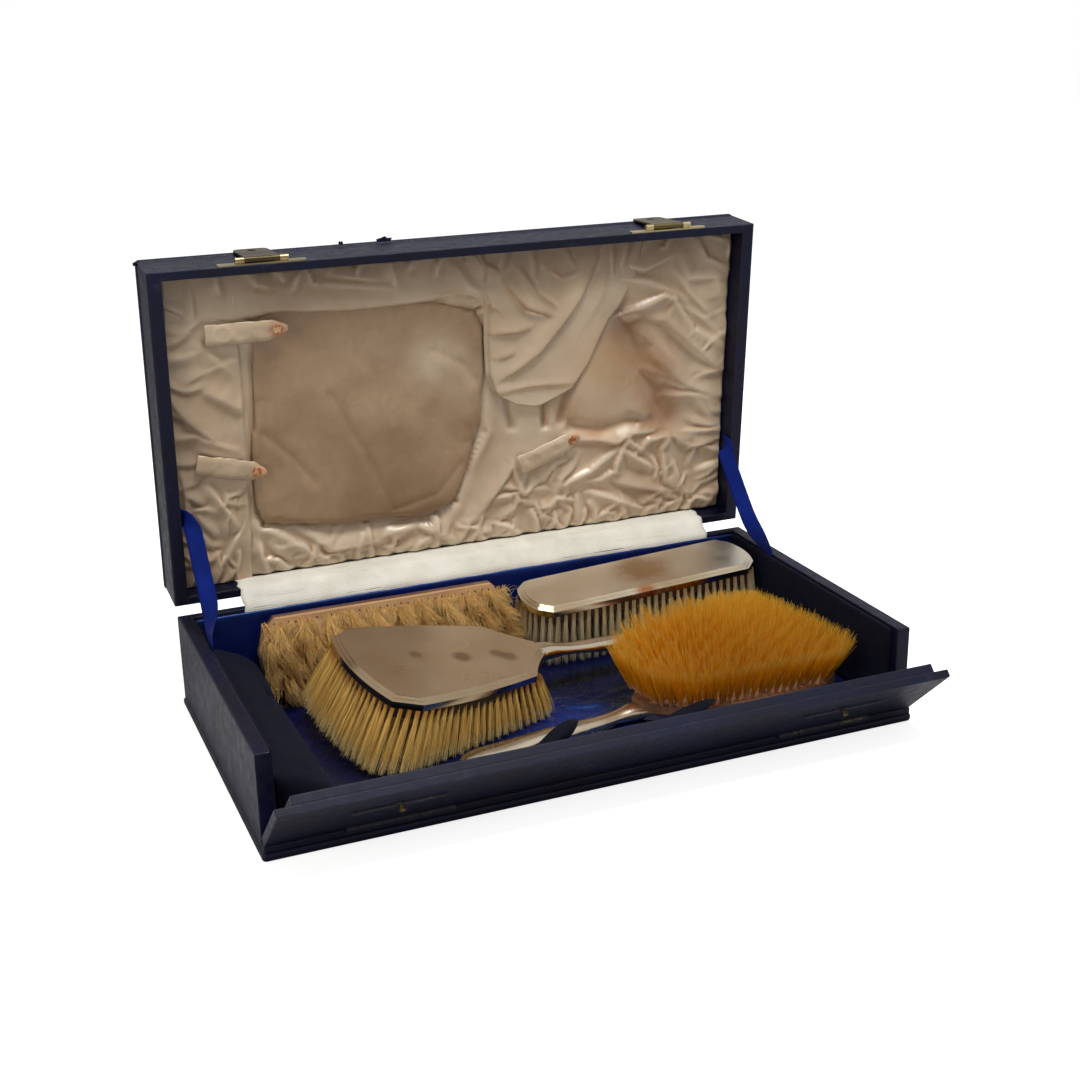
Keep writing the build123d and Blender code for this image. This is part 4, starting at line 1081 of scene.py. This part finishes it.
def across(x, y, line):
    """Distance in mm to a polyline, positive on its left, and the share of its length that is nearest."""
    line = np.array(line, float)
    runs = np.linalg.norm(np.diff(line, axis=0), axis=1)
    best = np.full(np.shape(x), 1e9)
    side, share, done = np.zeros(np.shape(x)), np.zeros(np.shape(x)), 0.0
    for (ax, ay), (bx, by), run in zip(line, line[1:], runs):
        dx, dy = (bx - ax) / run, (by - ay) / run
        t = np.clip((x - ax) * dx + (y - ay) * dy, 0, run)
        px, py = x - ax - t * dx, y - ay - t * dy
        d = np.hypot(px, py)
        near = d < best
        best = np.where(near, d, best)
        side = np.where(near, np.sign(dx * py - dy * px), side)
        share = np.where(near, (done + t) / runs.sum(), share)
        done += run
    return best * side, share


LEAN = 0.3


def folded(x, y, folds):
    """Height of the cloth over its folds, and how far they lean: each is steep on one side and fades at its ends."""
    height = np.zeros(np.shape(x))
    shift = np.zeros((*np.shape(x), 2))
    for number, (line, rise, width) in enumerate(folds):
        s, share = across(x, y, line)
        steep = 1 if number % 3 else -1
        spread = np.where(s * steep > 0, 0.85 * width, 2.0 * width)
        fade = 0.4 + 0.6 * np.sin(np.pi * np.clip(share, 0, 1)) ** 0.7
        ridge = rise * fade * np.exp(-(np.abs(s) / spread) ** 1.5)
        run = np.array(line[-1], float) - np.array(line[0], float)
        run *= steep * LEAN / np.linalg.norm(run)
        shift = np.where((ridge > height)[..., None], ridge[..., None] * np.array((-run[1], run[0])), shift)
        height = (height ** 4 + ridge ** 4) ** 0.25
    for _ in range(4):
        shift[1:-1, 1:-1] = mean_of_four(shift)
    return height, shift


def gathers(seed, starts, spread, length, rise, width):
    """Bent folds that start at given points and run in about the given direction."""
    rng = np.random.default_rng(seed)
    out = []
    for x, y, angle in starts:
        a = math.radians(angle + rng.uniform(-spread, spread))
        long = rng.uniform(*length) / 2
        b = a + rng.uniform(-0.7, 0.7)
        mid = (x + long * math.cos(a), y + long * math.sin(a))
        end = (mid[0] + long * math.cos(b), mid[1] + long * math.sin(b))
        out.append((((x, y), mid, end), rng.uniform(*rise), rng.uniform(*width)))
    return tuple(out)


def scattered(count, *ranges):
    """Random starts for folds: x, y and a direction in degrees."""
    return [tuple(rng.uniform(*span) for span in ranges) for _ in range(count)]


def dips(x, y, hollows):
    """Depth of the hollows along some lines."""
    return sum(deep * np.exp(-(line_distance(x, y, line) / width) ** 2) for line, deep, width in hollows)


# Loose blue satin over the tray's floor, laid in long low folds
rng = np.random.default_rng(21)
FLOOR_FOLDS = (
    gathers(22, scattered(60, (-172, 150), (-84, 84), (-28, 28)), 12, (30, 84), (0.7, 1.5), (2.2, 4.4))
    + gathers(23, scattered(30, (-48, 52), (-78, 2), (-70, 70)), 20, (14, 34), (1.4, 3.6), (1.8, 3.2))
)
FLOOR_X, FLOOR_FRONT, FLOOR_REAR = 181.2, -91.6, 91.0
cols, rows = 210, 108
gx, gy = np.meshgrid(np.linspace(-FLOOR_X, FLOOR_X, cols), np.linspace(FLOOR_FRONT, FLOOR_REAR, rows))
loose = np.clip(step(10, -20, gy) * step(-60, -10, gx) * step(60, 20, gx) + step(-40, -75, gy) * 0.4, 0, 1)
free = step(0, 7, np.minimum(FLOOR_X - np.abs(gx), np.minimum(gy - FLOOR_FRONT, FLOOR_REAR - gy)))
height, shift = folded(gx, gy, FLOOR_FOLDS)
room = 1.3 + 2.1 * loose
height = room * np.tanh(height / room) * free
start = np.stack((gx, gy, 5.9 + height), -1)
start[..., :2] += shift * (free * (0.3 + 0.5 * loose))[..., None]
more = 1.0 + 0.01 * loose
cloth, cut = settle(start, more, more, border(rows, cols), 5.7, 7.2 + 2.4 * loose, 6)
uv = np.stack(np.meshgrid(np.linspace(0, 0.36, cols), np.linspace(0, 0.18, rows)), -1).reshape(-1, 2)
floor_satin = finer(piece("floor_satin", cloth, grid_faces(rows, cols), LOOKS["floor_satin"], uv))
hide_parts("floor_pad")
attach(floor_satin, "base")


# The lining's short folds: in from its edges, then scattered
rng = np.random.default_rng(70)
low_starts = [(x + rng.uniform(-3, 3), -10.5, -90) for x in np.arange(-128, 179, 11)]
right_starts = [(180.5, y + rng.uniform(-4, 4), 180) for y in np.arange(-20, -190, -14)]
top_starts = [(x, -197.5, 90) for x in np.arange(-150, 176, 17)]
MORE_FOLDS = (
    gathers(71, low_starts, 52, (12, 32), (2.4, 4.4), (1.6, 2.6))
    + gathers(72, right_starts, 32, (14, 36), (2.0, 3.6), (1.9, 3.0))
    + gathers(73, top_starts, 42, (8, 20), (1.6, 3.0), (1.6, 2.6))
    + gathers(74, scattered(30, (16, 172), (-62, -16), (0, 360)), 0, (12, 28), (2.2, 4.0), (1.6, 2.5))
    + gathers(75, scattered(12, (-128, 8), (-27, -13), (-60, 40)), 0, (10, 24), (2.0, 3.6), (1.5, 2.3))
    + gathers(76, scattered(12, (112, 170), (-185, -80), (20, 60)), 0, (20, 44), (1.6, 3.0), (2.6, 4.4))
)
DIPS = lines(
    (4.6, 8.0, 102, -152, 110, -138, 120, -113, 133, -86, 138, -76),
    (4.2, 2.6, 53, -102, 54, -84), (4.2, 3.8, 71, -112, 66, -86), (3.0, 3.0, 28, -102, 31, -86),
    (3.4, 4.0, 72, -80, 92, -74, 112, -78, 130, -76),
)
SATIN_X, SATIN_LOW, SATIN_HIGH = 181.6, -9.8, -198.5
SATIN_NEAR, BEHIND_PAD = 7.6, 18.4
cols, rows = 244, 128
gx, gy = np.meshgrid(np.linspace(-SATIN_X, SATIN_X, cols), np.linspace(SATIN_LOW, SATIN_HIGH, rows))
under_pad = inside(gx, gy, PAD_LINE)
ruffle = step(-30, -26, gy) + (1 - step(-30, -26, gy)) * step(8, 26, gx) * step(-76, -66, gy)
top_strip = step(-168, -173, gy + 4 * lattice_noise(gx, gx * 0, 22, 34)) * step(22, 12, gx)
height, lean = folded(gx, gy, FOLDS + MORE_FOLDS)
z = 14.6 - 0.6 * ruffle - 2.8 * top_strip - height + dips(gx, gy, DIPS)
z += 2.6 * np.exp(-(line_distance(gx, gy, PAD_LINE[5:12]) / 3.5) ** 2) * (1 - 0.4 * ruffle)
z -= 1.0 * step(150, 181, gx) + 1.4 * np.exp(-(((gx - 84) / 20) ** 2 + ((gy + 106) / 20) ** 2))
z += 0.25 * lattice_noise(gx + gy * 0.4, gy - gx * 0.3, 9, 31) * ruffle + 0.5 * lattice_noise(gx, gy, 26, 33)
from_pad = line_distance(gx, gy, PAD_LINE + PAD_LINE[:1]) * np.where(under_pad, -1, 1)
free = np.maximum(step(-2.0, 2.5, from_pad), step(0.05, 0.95, top_strip))
z = 17.6 * (1 - free) + np.minimum(above_board(z), BEHIND_PAD) * free
edge = border(rows, cols)
lean *= (~edge * step(1.0, 5.0, from_pad))[..., None]
depth = np.where(edge, np.clip(z + 2.0, 12.0, 17.0), z)
start = np.concatenate((np.stack((gx, gy), -1) + lean, depth[..., None]), -1)
more = 1.0 + 0.02 * ruffle
cloth, cut = settle(start, more, more, edge | (free < 0.02), SATIN_NEAR, BEHIND_PAD, 7)
lid_satin = finer(piece("lid_satin", lid(cloth), grid_faces(rows, cols), LOOKS["ivory_satin"]))
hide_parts("lid_lining", "lower_gather", "right_gather", "right_drape")
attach(lid_satin, "lid")

# The gathered band at the left, with its free folded edge over the pad
LEFT_FOLDS = lines(
    (2.0, 2.4, -165, -191, -165, -171), (1.6, 2.4, -140, -190, -138, -168),
    (2.4, 2.6, -181, -159, -166, -167), (2.6, 2.6, -162, -158, -153, -148, -145, -140),
    (3.4, 2.8, -160, -130, -151, -125, -138, -115), (3.8, 3.0, -179, -125, -171, -115, -155, -98),
    (3.0, 2.6, -168, -104, -144, -92), (2.4, 2.2, -166, -95, -144, -86),
    (3.0, 2.6, -177, -70, -166, -61), (3.8, 2.6, -164, -73, -151, -51, -146, -41),
    (3.6, 2.4, -146, -41, -154, -27, -163, -18), (2.4, 2.6, -178, -85, -176, -67, -178, -40),
    (2.0, 2.4, -163, -141, -141, -148), (2.2, 2.4, -175, -136, -160, -142),
    (3.0, 2.2, -172, -56, -160, -40), (3.0, 2.2, -176, -34, -164, -26), (2.4, 2.0, -158, -62, -144, -58),
)
LEFT_FOLDS += gathers(
    77, [(x, -10.5, -90) for x in (-178, -170, -163, -156, -149)], 40, (12, 26), (2.6, 4.2), (1.5, 2.3)
)
LEFT_FOLDS += gathers(78, [(-181, y, 0) for y in np.arange(-24, -190, -16)], 40, (10, 22), (1.8, 3.0), (1.6, 2.6))
LEFT_FOLDS += gathers(79, scattered(9, (-176, -146), (-64, -16), (0, 360)), 0, (10, 20), (2.0, 3.2), (1.4, 2.2))
cols, rows = 44, 140
gx, gy = np.meshgrid(np.linspace(-SATIN_X, -136.5, cols), np.linspace(SATIN_LOW, SATIN_HIGH, rows))
gx = gx + (gx + SATIN_X) / 45 * (1.2 * lattice_noise(gy, gy * 0, 30, 41) - 3.5 * step(-60, -20, gy))
low_part = step(-78, -60, gy)
height, lean = folded(gx, gy, LEFT_FOLDS)
turn_in = step(-140.5, -136.8, gx)
z = 12.6 - height + 0.25 * lattice_noise(gx + gy * 0.6, gy, 9, 42)
z = np.minimum(above_board(z), 15.5) * (1 - turn_in) + 15.6 * turn_in
edge = border(rows, cols)
lean = lean * ~edge[..., None] * (1 - turn_in)[..., None]
start = np.concatenate((np.stack((gx, gy), -1) + lean, z[..., None]), -1)
cloth, cut = settle(start, 1.0 + 0.01 * low_part, 1.0 + 0.02 * low_part, edge, SATIN_NEAR, 16.4, 7)
left_band = finer(piece("left_band", lid(cloth), grid_faces(rows, cols), LOOKS["ivory_satin"]))
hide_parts("left_gather")
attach(left_band, "lid")

# The pouch: a loose tongue of satin that hangs from the lid's front edge
POUCH_LEFT = ((-8, -198), (4, -184), (12, -168), (12, -144), (13, -121), (18, -108), (31, -101), (44, -99))
POUCH_RIGHT = ((121, -198), (117, -176), (106, -158), (98, -149), (91, -137), (84, -122), (72, -107), (50, -99))
POUCH_FOLDS = lines(
    (4.6, 3.2, 86, -190, 74, -166, 62, -151, 46, -133, 29, -121),
    (3.4, 3.0, -8, -191, 2, -176, 16, -164), (3.4, 2.8, 22, -182, 39, -162, 59, -154),
    (2.8, 2.2, 35, -186, 46, -169, 62, -158), (2.4, 2.6, 18, -147, 32, -147, 42, -149),
    (2.6, 2.6, 49, -189, 62, -180, 75, -182), (2.4, 2.6, 7, -192, 22, -185),
    (1.4, 1.6, 22, -109, 42, -111, 69, -110), (1.6, 2.4, 20, -131, 33, -134),
    (1.2, 4.0, 95, -186, 90, -165, 80, -148), (2.0, 1.8, 24, -118, 34, -124, 44, -126),
) + gathers(80, [(x, -196, 90) for x in (-2, 10, 28, 44, 66, 98, 110)], 30, (9, 22), (1.4, 2.6), (1.6, 2.4))


def along(line, share):
    """A point at each share of a polyline's length."""
    line = np.array(line, float)
    return spaced(line, share * run_along(line)[-1])


cols, rows = 88, 80
down = np.linspace(0, 1, rows)
across_it = np.linspace(0, 1, cols)
sideways = across_it[None, :, None]
a, b = along(POUCH_LEFT, down)[:, None], along(POUCH_RIGHT, down)[:, None]
flat = a * (1 - sideways) + b * sideways
flat[..., 1] += (4 * across_it * (1 - across_it)) * 3.0 * down[:, None] ** 6
gx, gy = flat[..., 0], flat[..., 1]
height, lean = folded(gx, gy, POUCH_FOLDS)
z = 12.4 - 1.4 * down[:, None] - height + 0.4 * lattice_noise(gx, gy, 14, 51)
rim = np.minimum(np.minimum(across_it, 1 - across_it) * cols, (1 - down)[:, None] * rows)
z = np.minimum(above_board(z), 14.5) + 2.4 * np.exp(-(rim / 1.6) ** 2)
start = np.concatenate((flat + lean * np.clip(rim / 8, 0, 1)[..., None], z[..., None]), -1)
pouch = finer(piece("satin_pouch", lid(start), grid_faces(rows, cols), LOOKS["ivory_satin"]))
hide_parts("pouch_fold")
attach(pouch, "lid")


# Stud tabs
TAB_LIFT = 8.6


def tab(name, node, x, y, length, turn, seed):
    """A narrow stitched strap of satin with a blunt point, bowed a little. The first has its stud's ring pressed in."""
    wide, point, n, across_it = 12.0, 9, 64, 17
    s = np.linspace(-length / 2 + 2, length / 2, n)
    blunt = wide / 2 * (1 - 0.78 * (np.maximum(s - length / 2 + point, 0) / point) ** 1.3)
    half = np.where(s > length / 2 - point, blunt, wide / 2)
    half = half + 0.35 * lattice_noise(s, s * 0, 3, seed) + 0.3 * lattice_noise(s, s * 0, 9, seed + 5)
    layers = []
    for share in np.linspace(-1, 1, across_it):
        v = half * share
        bow = 0.8 * np.sin((s + length / 2) / length * 3.1)
        bow = bow + 0.5 * lattice_noise(s, v, 7, seed) + 0.22 * lattice_noise(s, v, 3, seed + 9)
        bow = bow + 0.45 * (seed == 1) * np.exp(-((np.hypot(s + 13, v) - 4.6) / 0.9) ** 2)
        seam = 0.3 * math.exp(-((abs(share) - 0.8) / 0.08) ** 2)
        layers.append(np.stack((s, v, TAB_LIFT - bow + seam + 1.0 * abs(share) ** 6), -1))
    p = np.stack(layers, 0)
    c, q = math.cos(math.radians(turn)), math.sin(math.radians(turn))
    local = np.stack((x + p[..., 0] * c - p[..., 1] * q, y + p[..., 0] * q + p[..., 1] * c, p[..., 2]), -1)
    obj = piece(name, lid(local), grid_faces(across_it, n), LOOKS["tab_satin"])
    thicken(obj, 0.7)
    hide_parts(node)
    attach(obj, "lid")


tab("tab_upper", "stud_tab_upper", -136, -164, 50, 0, 1)
tab("tab_lower", "stud_tab_lower", -150, -83, 44, 14, 2)
tab("tab_right", "stud_tab_right", 54, -67, 46, -20, 3)


# Ribbons that hold the lid, and the cloth strip over its hinge
def ribbon(name, node, x):
    start = np.array((44.4 + 0.3, 57.5))
    end = lid((0, -58, 0.1))[1:]
    foot = np.array((44.4, 45.2))
    top = lid((0, -58, 9.4))[1:]
    line = []
    for a, b, n in ((foot, start, 4), (start, end, 26), (end, top, 4)):
        for i in range(n):
            line.append(a + (b - a) * i / n)
    line.append(top)
    line = np.array(line)
    total, half, strands = len(line), 5, 7
    s = np.linspace(0, 1, total)
    # the run sags a little, because its two ends don't pull it tight
    run = line[-1] - line[0]
    side = np.array((run[1], -run[0])) / np.linalg.norm(run)
    line = line + side * (1.4 * np.sin(np.clip((s - 0.1) / 0.8, 0, 1) * np.pi))[:, None]
    tangent = np.gradient(line, axis=0)
    tangent /= np.linalg.norm(tangent, axis=1)[:, None]
    normal = np.stack((-tangent[:, 1], tangent[:, 0]), 1)
    # it turns to face forward between its ends
    twist = math.radians(74) * step(0.10, 0.42, s) * (1 - step(0.78, 0.97, s))
    inward = -math.copysign(1, x)
    rows = []
    for across in np.linspace(-half, half, strands):
        yz = line + normal * (across * np.cos(twist))[:, None]
        cup = 0.35 * (1 - (across / half) ** 2) * np.sin(s * np.pi)
        side = x + inward * (4.6 * np.sin(twist) + cup * np.cos(twist)) + across * np.sin(twist)
        yz = yz + normal * (cup * np.sin(twist))[:, None]
        rows.append(np.stack((side, yz[:, 0], yz[:, 1]), 1))
    points = np.stack(rows, 0)
    uv = np.stack(np.meshgrid(np.linspace(0, 0.1, total), np.linspace(0, 0.01, strands)), -1).reshape(-1, 2)
    obj = piece(name, points, grid_faces(strands, total), LOOKS["blue_ribbon"], uv)
    thicken(obj, 0.35)
    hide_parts(node)
    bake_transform(obj)


ribbon("ribbon_left", "left_ribbon", -181.0)
ribbon("ribbon_right", "right_ribbon", 181.0)

# The strip's route, seen from the side: up the back liner, then up the lid's lining
STRIP_LOW, STRIP_HIGH = (92.95, 56.6), lid((0, -9.3, 0.8))[1:]
route = [(92.9, 50.5), (92.9, 54.0), STRIP_LOW, STRIP_HIGH]
route = np.array(route + [lid((0, y, z))[1:] for y, z in ((-9.4, 4.0), (-9.6, 9.0), (-9.9, 13.4))])
run = run_along(route)[-1]
t = np.linspace(0, run, 22)
profile = spaced(route, t)
for _ in range(3):
    profile[1:-1] = (profile[:-2] + 2 * profile[1:-1] + profile[2:]) / 4
cols = 120
gx, gt = np.meshgrid(np.linspace(-151, 162, cols), t)
ragged = 1.2 * lattice_noise(gt, gt * 0, 3.0, 61) * (np.abs(gx) > 148)
bulge = 0.7 * lattice_noise(gx, gt, 22, 62) + 0.25 * lattice_noise(gx, gt, 7, 63)
bulge = bulge + 0.9 * np.sin(gt / run * np.pi)
points = np.stack((gx + ragged, profile[:, :1] - bulge * 0.6, profile[:, 1:] + bulge * 0.25), -1)
uv = np.stack((gx * MM, gt * MM), -1).reshape(-1, 2)
strip = piece("hinge_strip", points, grid_faces(22, cols), LOOKS["ivory_ribbon"], uv)
thicken(strip, 0.5)
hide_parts("hinge_cover")
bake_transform(strip)


# Torn scraps of the covering along the lid's far edge and at its corner
def scrap(name, x, y, z, wide, tall, seed):
    rng = np.random.default_rng(seed)
    turn = np.linspace(0, math.tau, 14)[:-1]
    far = rng.uniform(0.6, 1.1, len(turn))
    ring = np.stack((x + np.cos(turn) * far * wide / 2, y + 0 * turn, z + np.sin(turn) * far * tall / 2), -1)
    obj = prism(name, ring + (0, -0.35, 0), ring + (0, 0.35, 0), LOOKS["leatherette"], smooth=False)
    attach(obj, "lid")


scrap("torn_scrap_long", -44.5, 120.6, 264.8, 10.5, 4.4, 1)
scrap("torn_scrap_small", -71.0, 120.6, 264.5, 3.8, 4.0, 2)
scrap("torn_scrap_corner", -190.9, 118.5, 262.6, 3.6, 3.2, 3)


# Silver
def on_brush(place, u, v, w=0.0):
    """A point in metres, given in mm on a brush's own axes."""
    return tuple(put(place, (u, v, w)) * MM)


LOOKS["silver_left"] = metal(
    "silver_hairbrush", rgb(214, 201, 180), rgb(190, 170, 142), rgb(232, 224, 210), 0.6, (0.26, 0.34), left_head[1][2],
    spots=(
        (on_brush(left_head, 62, -4), 0.0095, rgb(136, 112, 92), 0.8),
        (on_brush(left_head, 85, -5), 0.0075, rgb(142, 118, 96), 0.7),
        (on_brush(left_head, 90, -10), 0.0085, rgb(142, 118, 96), 0.7),
        (on_brush(left_head, 36, 4), 0.0065, rgb(150, 126, 104), 0.6),
    ),
)
LOOKS["silver_right"] = metal(
    "silver_hand", rgb(210, 198, 178), rgb(176, 156, 128), rgb(236, 230, 218), 0.6, (0.16, 0.32)
)
LOOKS["silver_clothes"] = metal(
    "silver_clothes", rgb(230, 222, 206), rgb(206, 186, 156), rgb(244, 240, 230), 0.6, (0.30, 0.40),
    right_clothes[1][2],
    spots=(
        (on_brush(right_clothes, 4, 2), 0.030, rgb(182, 144, 100), 0.8),
        (on_brush(right_clothes, -4, -22, -5), 0.012, rgb(196, 138, 92), 0.7),
    ),
)
LOOKS["silver_edge"] = metal(
    "silver_edge", rgb(160, 128, 110), rgb(112, 80, 62), rgb(206, 180, 160), 0.7, (0.25, 0.45)
)

# The solids that show as they are, by look
WEARS = {
    "leatherette": (
        "base_board", "front_sill", "left_wall", "right_wall", "back_wall", "lid_board", "lid_left_wall",
        "lid_right_wall", "lid_front_wall", "lid_back_wall", "fall_panel", "fall_inner_panel",
    ),
    "brass": ("lid_hinge_base_leaves", "lid_hinge_pins", "lid_hinge_lid_leaves", "hasp_plates", "hasp_pins"),
    "dark_brass": ("keeper_studs", "hasp_tongue_left", "hasp_tongue_right"),
    "dull_brass": (
        "keeper_plates", "keeper_tacks", "fall_hinge_leaves", "fall_hinge_base_leaves", "fall_hinge_pins"
    ),
    "steel_stud": ("tab_studs",),
    "silver_left": ("hairbrush_left_shell",),
    "silver_right": ("hairbrush_right_shell",),
    "silver_clothes": ("clothes_brush_right_shell",),
    "silver_edge": ("clothes_brush_left_shell",),
    "wood": ("clothes_brush_left_wood",),
    "pad_wood": ("hairbrush_right_wood",),
    "dark_wood": ("hairbrush_left_wood", "clothes_brush_right_wood"),
}
for look, names in WEARS.items():
    for name in names:
        obj = nodes[name]
        if not obj.material_slots:
            obj.data.materials.append(LOOKS[look])
        for slot in obj.material_slots:
            slot.material = LOOKS[look]


# Floor, backdrop and light
floor_look = bpy.data.materials.new("studio_floor")
stage = Nodes(floor_look)
white = stage.node("ShaderNodeBsdfDiffuse")
white.inputs[0].default_value = (0.86, 0.86, 0.86, 1)
glow = stage.node("ShaderNodeEmission")
rays = stage.node("ShaderNodeLightPath").outputs
stage.link(stage.maths("MULTIPLY", rays["Is Camera Ray"], 0.8), glow.inputs["Strength"])
both = stage.node("ShaderNodeAddShader")
stage.link(white.outputs[0], both.inputs[0])
stage.link(glow.outputs[0], both.inputs[1])
stage.link(both.outputs[0], stage.node("ShaderNodeOutputMaterial").inputs[0])
bm = bmesh.new()
bmesh.ops.create_grid(bm, x_segments=8, y_segments=8, size=6)
mesh = bpy.data.meshes.new("studio_floor")
bm.to_mesh(mesh)
bm.free()
ground = bpy.data.objects.new("studio_floor", mesh)
scene.collection.objects.link(ground)
mesh.materials.append(floor_look)

world = bpy.data.worlds.new("studio")
scene.world = world
air = Nodes(world)
sky = air.node("ShaderNodeBackground")
sky.inputs[0].default_value = (1, 1, 1, 1)
rays = air.node("ShaderNodeLightPath").outputs
seen = air.maths("MAXIMUM", rays["Is Camera Ray"], rays["Is Transmission Ray"])
level = air.node("ShaderNodeMapRange")
air.link(seen, level.inputs[0])
level.inputs[3].default_value = 0.24
level.inputs[4].default_value = 1.0
air.link(air.maths("MULTIPLY_ADD", rays["Is Glossy Ray"], 0.44, level.outputs[0]), sky.inputs[1])
air.link(sky.outputs[0], air.node("ShaderNodeOutputWorld").inputs[0])


def lamp(name, at, aim, size, power, colour=(1, 1, 1)):
    data = bpy.data.lights.new(name, "AREA")
    data.shape = "DISK"
    data.size = size
    data.energy = power
    data.color = colour
    obj = bpy.data.objects.new(name, data)
    scene.collection.objects.link(obj)
    obj.location = at
    obj.rotation_euler = (Vector(aim) - Vector(at)).to_track_quat("-Z", "Y").to_euler()


lamp("key", (0.12, -0.34, 1.38), (0, 0, 0.08), 0.45, 15.0)
lamp("side", (-1.3, -0.7, 0.8), (0, 0, 0.08), 0.5, 5.0, (1.0, 0.94, 0.86))
scene.view_settings.view_transform = "Standard"
